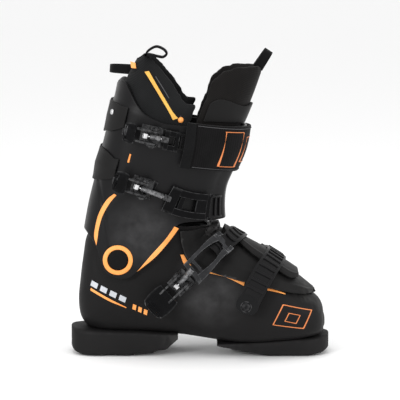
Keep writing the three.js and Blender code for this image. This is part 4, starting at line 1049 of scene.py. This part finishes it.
@dataclass
class Buckle:
    """An over-centre buckle along a track: base, lever, rod, sleeve, bail, ladder and rivet."""

    name: str
    body: str
    track: Track
    lever: float
    half: float
    bail_from: float
    bail_to: float
    bail_half: float
    bail_low: float
    ladder_half: float
    teeth: int
    bail_finish: Finish = BUCKLE_COAT
    plate: bool = False
    strip_half: float = 0.0
    frame: Matrix = field(init=False)

    def __post_init__(self) -> None:
        """Sets the hinge's frame."""
        self.frame = self.track.frame(0)

    @property
    def pin(self) -> Vector:
        """The link pin's middle."""
        return self.frame @ Vector((-SIZE.throw, 0, SIZE.pivot_height - SIZE.throw_drop))

    @property
    def arm_in(self) -> float:
        """How far the inside of each lever arm is from the middle."""
        return SIZE.sleeve_radius + 3

    @property
    def rod(self) -> tuple[Matrix, float]:
        """A frame at the link pin with its Z along the rod, and the length to the socket."""
        way = self.socket - self.pin
        return towards(self.pin, way.normalized()), way.length

    @property
    def socket(self) -> Vector:
        """Where the rod meets the bail."""
        return self.track.over(self.bail_from + 1, 0, self.bail_low + SIZE.bail / 2)

    def strip(self, start: float, end: float, half: float, low: float, high: float, bevel: float = 0.5,
              centre: float = 0.0, cells: int = 24, round_ends: float = 0.0) -> Mesh:
        """Returns: a flat bar that follows the track between two distances and heights."""
        def spot(u: Array, v: Array) -> Pair:
            """The grid, its corners drawn in when the ends are round."""
            s, t = 2 * u - 1, 2 * v - 1
            s, t = s * np.sqrt(1 - round_ends * t**2 / 2), t * np.sqrt(1 - round_ends * s**2 / 2)
            return self.track.spots((start + end) / 2 + s * (end - start) / 2, centre + t * half)

        bm = lay(self.track.form, spot, cells, 8, high)
        return soften(thicken(bm, high - low), min(bevel, (high - low) * 0.4), 2, 50)

    def base_piece(self) -> Piece:
        """Returns: the riveted base with its two ears."""
        h, arm_in = SIZE.pivot_height, self.arm_in
        ear_in = arm_in + SIZE.ear + 0.35
        ear = [(-7.6, 0), (7.6, 0)] + [
            (4.2 * math.cos(a), h + 4.2 * math.sin(a)) for a in np.linspace(0.15, math.pi - 0.15, 9)]
        parts = [
            self.strip(0.1, 12, 11.2, 0.3, 2.2, 0.6),
            slab(self.frame, (-SIZE.throw - 6, -11.2, -0.6), (10, 11.2, 2.2), 0.7),
            prism(self.frame, ear, ear_in, ear_in + SIZE.ear, 0.5),
            prism(self.frame, ear, -ear_in - SIZE.ear, -ear_in, 0.5),
        ]
        for s in (-1, 1):
            a = self.frame @ Vector((0, s * (ear_in + SIZE.ear - 0.2), h))
            b = self.frame @ Vector((0, s * (ear_in + SIZE.ear + 1.0), h))
            parts.append(pole(a, b, 2.9, 0.6))
            parts.append(pole(self.frame @ Vector((0, s * (arm_in + 0.4), h)), a, SIZE.hinge_radius, 0.2))
        return Piece(f"{self.name}_base", gather(parts), self.body, "buckle_metal", BLACK_COAT,
                     (f"{self.name}_buckle_base",))

    def lever_piece(self) -> Piece:
        """Returns: the lever: a fork of two arms and a bowed, panelled handle."""
        h, arm_in = SIZE.pivot_height, self.arm_in
        link = (-SIZE.throw, h - SIZE.throw_drop)
        nose = [(4.4 * math.cos(a), h + 4.4 * math.sin(a)) for a in np.linspace(-math.pi / 2, math.pi / 2, 9)]
        arm = nose + [(-self.lever * 0.55, h + 3.8), (-self.lever * 0.6, h + 1.2), (link[0] - 6, h - 1.5),
                      (link[0] - 1, link[1] - 3.3), (link[0] + 3, link[1] - 3)]
        parts = [prism(self.frame, arm, arm_in, arm_in + SIZE.ear, 0.5),
                 prism(self.frame, arm, -arm_in - SIZE.ear, -arm_in, 0.5)]
        start = link[0] - 11.5
        bm, u, v = grid(36, 20)
        x = start + (-self.lever - start) * u
        t = 2 * v - 1
        width = self.half * (0.86 + 0.14 * np.sin(np.pi * np.clip(u, 0, 1) ** 0.8)) \
            * np.where(u > 0.86, np.sqrt(np.clip(1 - ((u - 0.86) / 0.19) ** 2, 0.05, 1)), 1)
        bow = h + 4.0 - 3.2 * u**2 - 0.9 * t**2
        panel = -0.7 / (1 + np.exp(-(0.74 - np.abs(t)) * 30)) / (1 + np.exp(-(0.36 - np.abs(u - 0.5)) * 40))
        ribs = 0.55 * (np.abs(np.sin(u * 46)) > 0.8) * (u > 0.72) * (np.abs(t) < 0.62)
        place_verts(bm, np.stack([x, t * width, bow + panel + ribs], axis=1))
        bm.normal_update()
        if sum(f.normal.z for f in bm.faces) < 0:
            bmesh.ops.reverse_faces(bm, faces=bm.faces[:])
        thicken(bm, 2.4)
        soften(bm, 0.7, 2, 55)
        bmesh.ops.transform(bm, matrix=self.frame, verts=bm.verts[:])
        parts.append(bm)
        parts.append(pole(self.frame @ Vector((link[0], -arm_in - 2.3, link[1])),
                          self.frame @ Vector((link[0], arm_in + 2.3, link[1])), 1.6, 0.3))
        return Piece(f"{self.name}_lever_handle", gather(parts), f"{self.name}_lever", "buckle_metal",
                     BLACK_COAT,
                     (f"{self.name}_buckle_lever", f"{self.name}_buckle_link_pin"))

    def rod_piece(self) -> Piece:
        """Returns: the threaded rod with its eye."""
        at, length = self.rod
        reach = length + 2
        profile = [(0, 2.4), (SIZE.rod_radius - 0.2, 2.4)]
        z = 3.0
        while z < reach - 0.8:
            profile += [(SIZE.rod_radius, z), (SIZE.rod_radius, z + 0.35), (SIZE.rod_radius - 0.32, z + 0.55),
                        (SIZE.rod_radius - 0.32, z + 0.75)]
            z += 0.95
        profile += [(SIZE.rod_radius - 0.3, reach), (0, reach)]
        side = (self.frame.to_3x3() @ Vector((0, 1, 0))).normalized()
        eye = turned(towards(self.pin - side * 3, side),
                     [(1.95, 0), (3.1, 0), (3.4, 0.4), (3.4, 5.6), (3.1, 6), (1.95, 6), (1.95, 0)], 28)
        return Piece(f"{self.name}_rod_thread", gather([turned(at, profile, 20), eye]),
                     f"{self.name}_bail", "steel", STEEL, (f"{self.name}_buckle_rod",))

    def sleeve_piece(self) -> Piece:
        """Returns: the fluted sleeve that sets the rod's length."""
        at, length = self.rod
        start, end = 5.4, length - 6.2
        r = SIZE.sleeve_radius
        sleeve = turned(at, [(2.05, start), (r - 0.5, start), (r, start + 0.5), (r, end - 0.5),
                                             (r - 0.5, end), (2.05, end), (2.05, start)], 32)
        inverse = at.inverted()
        for v in sleeve.verts:
            q = inverse @ v.co
            radius = math.hypot(q.x, q.y)
            if radius > 2.3 and start + 1.2 < q.z < end - 1.2:
                k = 1 - 0.07 * (1 + math.cos(8 * math.atan2(q.y, q.x)))
                v.co = at @ Vector((q.x * k, q.y * k, q.z))
        return Piece(f"{self.name}_sleeve_barrel", sleeve, f"{self.name}_sleeve", "buckle_metal", BAIL_COAT,
                     (f"{self.name}_buckle_sleeve",))

    def bail_piece(self) -> Piece:
        """Returns: the bail: two arms between a socket bar and a hook bar, or a wide plate with a window."""
        low, high = self.bail_low, self.bail_low + SIZE.bail
        a, b, w = self.bail_from, self.bail_to, self.bail_half
        arm = 6.2 if not self.plate else 8.5
        parts = [
            self.strip(a, a + (5 if not self.plate else 12), w, low, high, 0.7),
            self.strip(b - 4, b, w, low, high, 0.9),
            self.strip(a + 1, b - 1, arm / 2, low + 0.1, high - 0.1, 0.6, w - arm / 2 - 0.3, 30),
            self.strip(a + 1, b - 1, arm / 2, low + 0.1, high - 0.1, 0.6, -w + arm / 2 + 0.3, 30),
            self.strip(b - 2.6, b, w - 4, low - SIZE.tooth_height, low + 0.5, 0.5, 0, 4),
        ]
        if b - a > 30:
            parts.append(self.strip(a + 8.5 + 6 * self.plate, a + 11.5 + 8 * self.plate, w - 1, low,
                                    high - 0.5, 0.5))
            for s in (-1, 1):
                parts.append(self.strip(b - 2, b + 2.4, 2.0, low - 0.4, high + 0.6, 0.9, s * (w - 1.8), 6))
        if self.plate:
            parts.append(self.strip(b - 16, b - 4, w - 1, low, high - 0.4, 0.6))
        at, reach = self.rod
        parts.append(turned(at, [
            (2.1, reach - 5), (3.2, reach - 5), (3.6, reach - 4.4), (3.6, reach + 3), (3.0, reach + 3.6),
            (2.1, reach + 3.6), (2.1, reach - 5)], 24))
        return Piece(f"{self.name}_bail_frame", gather(parts), f"{self.name}_bail", "buckle_metal",
                     self.bail_finish,
                     (f"{self.name}_buckle_bail",))

    def ladder_pieces(self) -> list[Piece]:
        """Returns: the toothed ladder with raised rails and a riveted end, and its rivet."""
        top = self.bail_low - SIZE.tooth_height - SIZE.hook_clearance
        low = top - SIZE.ladder
        end = self.track.length
        start = self.bail_to - 12
        half = self.strip_half or self.ladder_half
        parts = [self.strip(start, end - 9, half, low, top, 0.6, 0, 60)]
        for s in (-1, 1):
            parts.append(self.strip(start + 1, end - 15, 1.5, top - 0.6, top + 0.9, 0.5, s * (half - 1.6),
                                    60))
        first = self.bail_to - 5.3
        count = int((end - 22 - first) / SIZE.tooth_pitch) + 1
        for i in range(count):
            middle = first + i * SIZE.tooth_pitch
            tall = SIZE.tooth_height - 0.4 if i < self.teeth else 1.5
            parts.append(self.strip(middle - 1.3, middle + 1.3, half - 2.2, top - 0.5, top + tall, 0.6, 0, 4))
        pieces = [Piece(f"{self.name}_ladder_strip", gather(parts), self.body, "ladder_plastic", CUFF_PLASTIC,
                        (f"{self.name}_ladder",))]
        spot = end - 7.5
        plate = self.strip(end - 19, end - 0.5, half + 0.6, low, top + 0.9, 0.8, 0, 24, 0.75)
        pieces.append(Piece(f"{self.name}_ladder_end", plate, self.body, "ladder_plastic", END_PLASTIC))
        seat = self.track.frame(spot)
        seat = towards(seat @ Vector((0, 0, top + 0.7)), seat.to_3x3() @ Vector((0, 0, 1)))
        rivet = turned(seat, [(0, 2.5), (1.6, 2.4), (3.2, 1.9), (4.4, 1.0), (4.9, 0.1), (4.9, -0.4),
                              (5.4, -0.4),
                              (5.6, 0.5), (6.3, 0.5), (6.5, -0.6), (0, -0.6)], 40)
        pieces.append(Piece(f"{self.name}_ladder_rivet_head", rivet, self.body, "cuff_plastic", BLACK_COAT,
                            (f"{self.name}_ladder_rivet",)))
        return pieces

    def build(self) -> None:
        """Makes the buckle's pieces."""
        for piece in (self.base_piece(), self.lever_piece(), self.rod_piece(), self.sleeve_piece(),
                      self.bail_piece(), *self.ladder_pieces()):
            piece.make()


def buckles() -> list[Buckle]:
    """Returns: the boot's four buckles."""
    over_flap = 2 * FLAP_RISE + LADDER_SPACE + SIZE.tooth_height
    on_cuff = LADDER_SPACE + SIZE.tooth_height
    return [
        Buckle("toe", "shell", Track(SHELL, [inner(SHELL, 58, 74), (5.35, 180), outer(SHELL, 52, 58)]),
               38, 11, 16, 40, 11.5, over_flap, 10, 4, strip_half=12.2),
        Buckle("instep", "shell", Track(SHELL, [outer(SHELL, -20, 92), outer(SHELL, 4, 115), (7.9, 180),
                                                inner(SHELL, 30, 100)]),
               50, 16, 14, 58, 13.5, over_flap, 11, 3, BAIL_COAT),
        Buckle("lower_cuff", "cuff", Track(CUFF, [outer(CUFF, -64, 203), outer(CUFF, -12, 182), (3.15, 180),
                                                  inner(CUFF, -2, 176)]),
               36, 13, 28, 78, 16, on_cuff, 12, 4, BLACK_COAT, True, 13.5),
        Buckle("upper_cuff", "cuff", Track(CUFF, [outer(CUFF, -53, 263), outer(CUFF, -14, 255), (6.2, 180),
                                                  inner(CUFF, 0, 250)]),
               34, 12, 13, 29, 11.5, on_cuff, 10, 2, BLACK_COAT),
    ]


@dataclass
class PowerStrap:
    """The wide webbing strap round the top of the cuff, with its bound end, stitching and printed outline."""

    width: float = 52.0
    thick: float = 3.6
    lift: float = LADDER_SPACE + SIZE.tooth_height

    def track(self) -> Track:
        """Returns: the strap's line round the cuff."""
        return Track(CUFF, [outer(CUFF, -19, 254), (6.1, 180), inner(CUFF, -24, 252), inner(CUFF, -70, 262)])

    def band(self, name: str, start: float, end: float, half: float, rise: float, wall: float, finish: Finish,
             slant: float = 0.0, centre: float = 0.0, cells: int = 120, stands_for: tuple[str, ...] = (),
             slot: str = "webbing") -> Piece:
        """Returns: a band on the strap's line, its start slanted by so much from top to bottom."""
        track = self.track()
        length = track.length

        def spot(u: Array, v: Array) -> Pair:
            """Along and across the band."""
            first = start + slant * (v - 0.5)
            return track.spots(first + (end - first) * u, centre + (2 * v - 1) * half)

        def height(u: Array, v: Array) -> Array:
            """Over the ladder at the front, down on the cuff at the back, a little puffed across."""
            along = (start + (end - start) * u) / length
            t = np.clip((along - 0.72) / 0.2, 0, 1)
            down = self.lift - (self.lift - SIZE.gap) * (3 * t**2 - 2 * t**3)
            return down + rise + 0.35 * np.cos(np.pi * (v - 0.5)) + 0.12 * np.sin(along * 60) * np.sin(v * 7)

        return Piece(name, lay(CUFF, spot, cells, 24, height), "cuff", slot, finish, stands_for, wall=wall,
                     bevel=0.6)

    def build(self) -> None:
        """Makes the strap's pieces."""
        length = self.track().length
        half = self.width / 2
        self.band("power_strap_webbing", 1, length - 1, half, self.thick, self.thick - 0.4, WEB, 2, 0, 160,
                  ("power_strap",)).make()
        self.band("power_strap_end", 0, 11, half, self.thick + 1.5, 1.5, WEB_LOOP, 2, 0, 12).make()
        for k, (first, last, reach) in enumerate(((44, 68, 20), (76, 98, 14))):
            for label, edge in (("top", reach), ("bottom", -reach)):
                self.band(f"strap_mark_{k + 1}_{label}", first, last, 0.45, self.thick + 0.3, 0.25,
                          ORANGE_LINE,
                          0, edge, 20, slot="orange_trim").make()
            for label, at in (("rear", first), ("front", last)):
                self.band(f"strap_mark_{k + 1}_{label}", at - 0.5, at + 0.5, reach, self.thick + 0.3, 0.25,
                          ORANGE_LINE, 4, 0, 2, slot="orange_trim").make()
        for label, centre in (("top", half - 2.2), ("bottom", -half + 2.2)):
            self.band(f"power_strap_stitch_{label}", 13, length - 3, 0.35, self.thick + 0.35, 0.4, THREAD, 0,
                      centre,
                      160).make()


@dataclass
class Liner:
    """The padded liner: its cuff with a stand-up collar, its tongue, shield, piping and pull loops."""

    foam: float = 7.0
    voxel: float = 0.0042
    pressure: float = 3.5
    last_step: int = 16
    collar_edge: Outline = ((-92, 318), (-86, 332), (-80, 345), (-72, 354), (-63, 356.5), (-51, 348),
                            (-41, 338.5),
                            (-26, 320), (-14, 303), (-3, 299), (8, 298))

    def padded(self, name: str, bm: Mesh, finish: Finish, depth: float, cap: float) -> bpy.types.Object:
        """Puffs a skin up into a pad with a short cloth simulation.

        Args:
            name: the piece's name.
            bm: its open outer skin.
            finish: what it is covered in.
            depth: foam under the skin.
            cap: the furthest that the simulation may move it.

        Returns:
            The pad.
        """
        thicken(bm, depth)
        piece = Piece(name, bm, "cuff", "liner_fabric", finish).make()
        piece.modifiers.clear()
        remesh = piece.modifiers.new("even", "REMESH")
        remesh.mode, remesh.voxel_size, remesh.use_smooth_shade = "VOXEL", self.voxel, True
        self.settle(piece)
        before = np.array([v.co[:] for v in piece.data.vertices])
        cloth = piece.modifiers.new("puff", "CLOTH")
        cloth.settings.use_pressure = True
        cloth.settings.uniform_pressure_force = self.pressure
        cloth.settings.effector_weights.gravity = 0
        cloth.settings.mass = 0.25
        scene = bpy.context.scene
        for step in range(1, self.last_step + 1):
            scene.frame_set(step)
        after = self.shape_of(piece)
        piece.modifiers.clear()
        scene.frame_set(1)
        move = after - before
        far = np.linalg.norm(move, axis=1, keepdims=True)
        move *= np.minimum(1, cap * MM / np.maximum(far, 1e-9))
        piece.data.vertices.foreach_set("co", (before + move).ravel())
        piece.data.update()
        smooth = piece.modifiers.new("soft", "SMOOTH")
        smooth.factor, smooth.iterations = 0.5, 4
        sub = piece.modifiers.new("fine", "SUBSURF")
        sub.levels = sub.render_levels = 1
        return piece

    @staticmethod
    def shape_of(obj: bpy.types.Object) -> Array:
        """Returns: the object's vertices with its modifiers applied."""
        shown = obj.evaluated_get(bpy.context.evaluated_depsgraph_get())
        mesh = shown.to_mesh()
        co = np.empty(len(mesh.vertices) * 3)
        mesh.vertices.foreach_get("co", co)
        shown.to_mesh_clear()
        return co.reshape(-1, 3)

    @staticmethod
    def settle(obj: bpy.types.Object) -> None:
        """Makes the object's modifiers part of its mesh."""
        shown = obj.evaluated_get(bpy.context.evaluated_depsgraph_get())
        mesh = bpy.data.meshes.new_from_object(shown)
        obj.modifiers.clear()
        old = obj.data
        obj.data = mesh
        bpy.data.meshes.remove(old)

    def collar(self) -> None:
        """Makes the liner's cuff."""
        top = edge_by_angle(SHAFT, self.collar_edge)

        def spot(u: Array, v: Array) -> Pair:
            """Round the back from one front edge to the other, from the ankle to the collar."""
            angle = -107 + 214 * u
            return 1.5 * (1 - v) + top(angle) * v, angle

        pad = self.padded("liner_collar", lay(SHAFT, spot, 90, 80, -0.8), LINER, self.foam, 2.0)
        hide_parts("liner_cuff")

    def tongue(self) -> None:
        """Makes the tongue."""
        edge = edge_by_angle(SHAFT, ((-4, 296), (1, 307), (9, 320), (16, 329), (29.5, 338), (44.5, 341.5),
                                     (60, 341.5),
                                     (74, 339)))

        def spot(u: Array, v: Array) -> Pair:
            """Across the front, from the ankle up."""
            angle = 109 + 142 * u
            return 3.2 * (1 - v) + edge(angle) * v, angle

        pad = self.padded("liner_tongue_pad", lay(SHAFT, spot, 60, 70, -0.6), TONGUE_LINING, self.foam, 1.8)
        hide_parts("liner_tongue")

    def trim(self, name: str, first: Outline, second: Outline, rise: float, finish: Finish, wall: float,
             slot: str = "liner_fabric") -> None:
        """Makes a strip sewn on the liner between two edges."""
        bm = lay(SHAFT, between(SHAFT, first, second), 48, 6, rise)
        Piece(name, bm, "cuff", slot, finish, wall=wall, bevel=0.3).make()

    def loop(self, name: str, node: str, ring: Outline, centre: float, half: float,
             wall: float = 2.6) -> None:
        """Makes a loop of webbing that stands in the side view."""
        line = Curve([*ring, ring[0]])
        bm, u, v = grid(64, 6)
        p = line.at(u)
        place_verts(bm, np.stack([p[:, 0], centre + (2 * v - 1) * half, p[:, 1]], axis=1))
        weld(bm, 0.05)
        bmesh.ops.recalc_face_normals(bm, faces=bm.faces[:])
        Piece(name, bm, "cuff", "webbing", WEB_LOOP, (node,), wall=wall, bevel=0.3).make()

    def fold(self, name: str, node: str, root: tuple[float, float], tip: tuple[float, float], face: float,
             half: float) -> None:
        """Makes a folded strap that leaves a root and turns back at a tip, its face to the side.

        Args:
            root, tip: ends of its middle line in the side view.
            face: width of the webbing.
            half: half the opening of the fold.
        """
        start, end = np.array(root), np.array(tip)
        reach = float(np.linalg.norm(end - start))
        axis = (end - start) / reach
        up = np.array([-axis[1], axis[0]])
        line = Curve([(0, half), (reach * 0.55, half * 1.08), (reach * 0.88, half * 0.85), (reach, 0),
                      (reach * 0.88, -half * 0.85), (reach * 0.55, -half * 1.08), (0, -half)])
        bm, u, v = grid(48, 6)
        p = line.at(u)
        ripple = 0.5 * np.sin(5 * u) * (2 * v - 1)
        spot = start + np.outer(p[:, 0], axis) + np.outer((v - 0.5) * face * (1 - 0.12 * p[:, 0] / reach), up)
        place_verts(bm, np.stack([spot[:, 0], p[:, 1] + ripple, spot[:, 1]], axis=1))
        bmesh.ops.recalc_face_normals(bm, faces=bm.faces[:])
        Piece(name, bm, "cuff", "webbing", WEB_LOOP, (node,), wall=1.8, bevel=0.4).make()

    def build(self) -> None:
        """Makes the liner's pieces."""
        self.collar()
        self.tongue()
        sock = lay(SHELL.inset(SIZE.shell_wall + 0.6), lambda u, v: (0.4 + 16.2 * v, 360 * u), 96, 80, 0.0)
        Piece("liner_sock", weld(sock, 0.05), "shell", "liner_fabric", LINER, ("liner_foot",), wall=6.0,
              bevel=1.0).make()
        self.trim("collar_piping", ((-63, 335), (-57, 326), (-46, 308), (-36, 291), (-31, 281)),
                  ((-58, 336), (-51, 324), (-41, 307), (-31.5, 291), (-25, 283)), 1.6, PIPING, 1.6)
        self.trim("collar_seam", ((-51, 330), (-42, 316), (-30, 296), (-22, 284)),
                  ((-50.2, 330.5), (-41.2, 316.5), (-29.2, 296.5), (-21.2, 284.5)), 0.9, THREAD, 0.8)
        self.trim("collar_label", ((-80, 345.5), (-74, 344.5)), ((-78.5, 338.5), (-73, 338.5)), 0.9, ORANGE,
                  0.8)
        self.trim("collar_seam_2", ((-57, 331), (-47, 315), (-35, 294), (-29, 282)),
                  ((-56.3, 331.4), (-46.3, 315.4), (-34.3, 294.4), (-28.3, 282.4)), 1.1, THREAD, 0.7)
        spot = outer(SHAFT, -22, 281)
        at, out = Vector(SHAFT.point(*spot)[0]), Vector(SHAFT.normal(*spot)[0])
        stud = turned(towards(at + out * 0.6, out), [(0, 2.6), (1.6, 2.4), (2.8, 1.7), (3.3, 0.6), (3.3, 0),
                                                     (0, 0)], 28)
        Piece("collar_stud", stud, "cuff", "orange_trim", ORANGE).make()
        self.shield()
        self.loop("collar_loop", "collar_pull_loop", ((-64, 353), (-60, 360), (-50, 365), (-40, 361),
                                                      (-37, 355),
                                                      (-42, 350.5), (-50, 351.5), (-56, 353)), -36, 6.5)
        self.fold("heel_loop", "heel_pull_loop", (-80, 335), (-103.5, 336.5), 10.5, 9)
        self.fold("tongue_tab", "tongue_pull_tab", (67, 337), (79.5, 356), 12, 6.5)

    def shield(self) -> None:
        """Makes the rounded plastic shield that stands over the strap."""
        low = ((4, 279), (20, 278), (40, 276), (58, 274))
        high = ((4.5, 283), (6.5, 292), (13, 300.5), (23, 304), (33, 301.5), (49, 295), (60, 297))
        one, two = edge_by_angle(SHAFT, low), edge_by_angle(SHAFT, high)
        start = float(SHAFT.seen_at(4.5, 282)[1][0])

        def spot(u: Array, v: Array) -> Pair:
            """Across the front from side to side."""
            angle = start + (360 - 2 * start) * u
            return one(angle) * (1 - v) + two(angle) * v, angle

        Piece("tongue_shield_moulding", lay(SHAFT, spot, 80, 16, 2.6), "cuff", "flap_plastic", FLAP_PLASTIC,
              ("tongue_shield",), wall=1.9, bevel=0.6).make()


@dataclass
class Marks:
    """Plain printed shapes: bars and dashes by the heel, and an outline on the forefoot."""

    def patch(self, name: str, form: Form, body: str, first: Outline, second: Outline, finish: Finish,
              rise: float
              ) -> None:
        """Makes a thin printed shape between two edges."""
        bm = lay(form, between(form, first, second, smooth=False), 10, 2, rise)
        Piece(name, bm, body, "orange_trim", finish, wall=0.25).make()

    def outline(self, name: str, form: Form, body: str, corners: Outline, width: float, finish: Finish,
                rise: float
                ) -> None:
        """Makes a thin closed line through corners."""
        ring = [*corners, corners[0]]
        middle = np.mean(corners, axis=0)
        inside = [tuple(np.array(p) + (middle - np.array(p)) / np.linalg.norm(middle - np.array(p)) * width)
                  for p in ring]
        bm = lay(form, between(form, ring, inside, smooth=False), 80, 2, rise)
        Piece(name, bm, body, "orange_trim", finish, wall=0.25).make()

    def build(self) -> None:
        """Makes the marks."""
        for i in range(4):
            x, z = -128 + 11 * i, 85 - 5.2 * i
            self.patch(f"heel_bar_{i + 1}", SHELL, "shell", ((x, z), (x + 7.5, z - 3.6)),
                       ((x + 2, z + 6), (x + 9.5, z + 2.4)), PALE_PRINT, 0.3)
        self.patch("heel_underline", SHELL, "shell", ((-128, 79), (-105, 67), (-86, 59.5)),
                   ((-127.5, 82), (-105, 70), (-86, 60.5)), ORANGE, 0.3)
        for i in range(3):
            x, z = -79 + 6.5 * i, 58.5 - 3 * i
            self.patch(f"heel_dash_{i + 1}", SHELL, "shell", ((x, z), (x + 4, z - 1.8)),
                       ((x + 1, z + 6), (x + 5, z + 4.2)), ORANGE, 0.3)
        self.outline("forefoot_mark", SHELL, "shell", ((84, 42), (96, 66), (131, 57), (121, 36)), 1.6,
                     ORANGE_LINE, 0.3)
        self.outline("forefoot_mark_inner", SHELL, "shell", ((98, 46), (103, 56), (117, 52.5), (112, 42.5)),
                     1.3,
                     ORANGE_LINE, 0.3)


@dataclass
class Studio:
    """The floor, soft lights and a long-lens camera."""

    distance: float = 2.2
    elevation: float = 8.0
    lens: float = 168.0
    aim: tuple[float, float, float] = (0.0, 0.0, 0.181)

    def light(self, name: str, at: Sequence[float], size: float, power: float) -> None:
        """Makes a soft square light that faces the boot."""
        data = bpy.data.lights.new(name, "AREA")
        data.size, data.energy = size, power
        obj = bpy.data.objects.new(name, data)
        obj.matrix_world = Matrix.Translation(at) @ (Vector(self.aim) - Vector(at)).to_track_quat("-Z", "Y") \
            .to_matrix().to_4x4()
        bpy.context.scene.collection.objects.link(obj)

    def build(self) -> None:
        """Makes the studio."""
        scene = bpy.context.scene
        scene.view_settings.view_transform = "Standard"
        data = bpy.data.cameras.new("camera")
        data.lens, data.sensor_width, data.clip_end = self.lens, 36.0, 50.0
        cam = bpy.data.objects.new("camera", data)
        rise = math.radians(self.elevation)
        spot = Vector(self.aim) + self.distance * Vector((0, -math.cos(rise), math.sin(rise)))
        look = (Vector(self.aim) - spot).to_track_quat("-Z", "Y").to_matrix().to_4x4()
        cam.matrix_world = Matrix.Translation(spot) @ look
        scene.collection.objects.link(cam)
        scene.camera = cam
        bm = bmesh.new()
        bmesh.ops.create_grid(bm, x_segments=4, y_segments=4, size=40.0)
        mesh = bpy.data.meshes.new("floor")
        bm.to_mesh(mesh)
        bm.free()
        floor = bpy.data.objects.new("floor", mesh)
        paper = bpy.data.materials.new("paper")
        paper.use_nodes = True
        paper.node_tree.nodes["Principled BSDF"].inputs["Base Color"].default_value = (0.93, 0.93, 0.93, 1)
        paper.node_tree.nodes["Principled BSDF"].inputs["Roughness"].default_value = 0.9
        mesh.materials.append(paper)
        scene.collection.objects.link(floor)
        world = bpy.data.worlds.new("studio")
        world.use_nodes = True
        world.node_tree.nodes["Background"].inputs["Color"].default_value = (1, 1, 1, 1)
        world.node_tree.nodes["Background"].inputs["Strength"].default_value = 1.0
        scene.world = world
        self.light("key", (-1.35, -1.75, 0.85), 0.5, 17)
        self.light("fill", (1.7, -0.9, 0.8), 0.6, 7)
        self.light("top", (-0.2, -0.4, 2.2), 1.0, 11)


def dress_frame() -> None:
    """Gives the frame's own pieces that stay shown their finishes."""
    finishes = {"steel": STEEL, "board_plastic": SOLE_PLASTIC, "cuff_plastic": CUFF_PLASTIC}
    for part in frame["record"]["subparts"]:
        obj = frame["nodes"][part["node"]]
        finish = finishes.get(part["material_slot"])
        if finish and obj.data.materials:
            obj.data.materials[0] = finish.material()


def main() -> None:
    """Builds the boot, sub-assembly by sub-assembly."""
    logging.basicConfig(level=logging.INFO, format="%(name)s %(message)s")
    Studio().build()
    dress_frame()
    for part in (LowerShell(), Soles(), Cuff(), *buckles(), PowerStrap(), Liner(), Marks()):
        LOG.info("building %s", type(part).__name__)
        part.build()


if __name__ == "__main__":
    main()
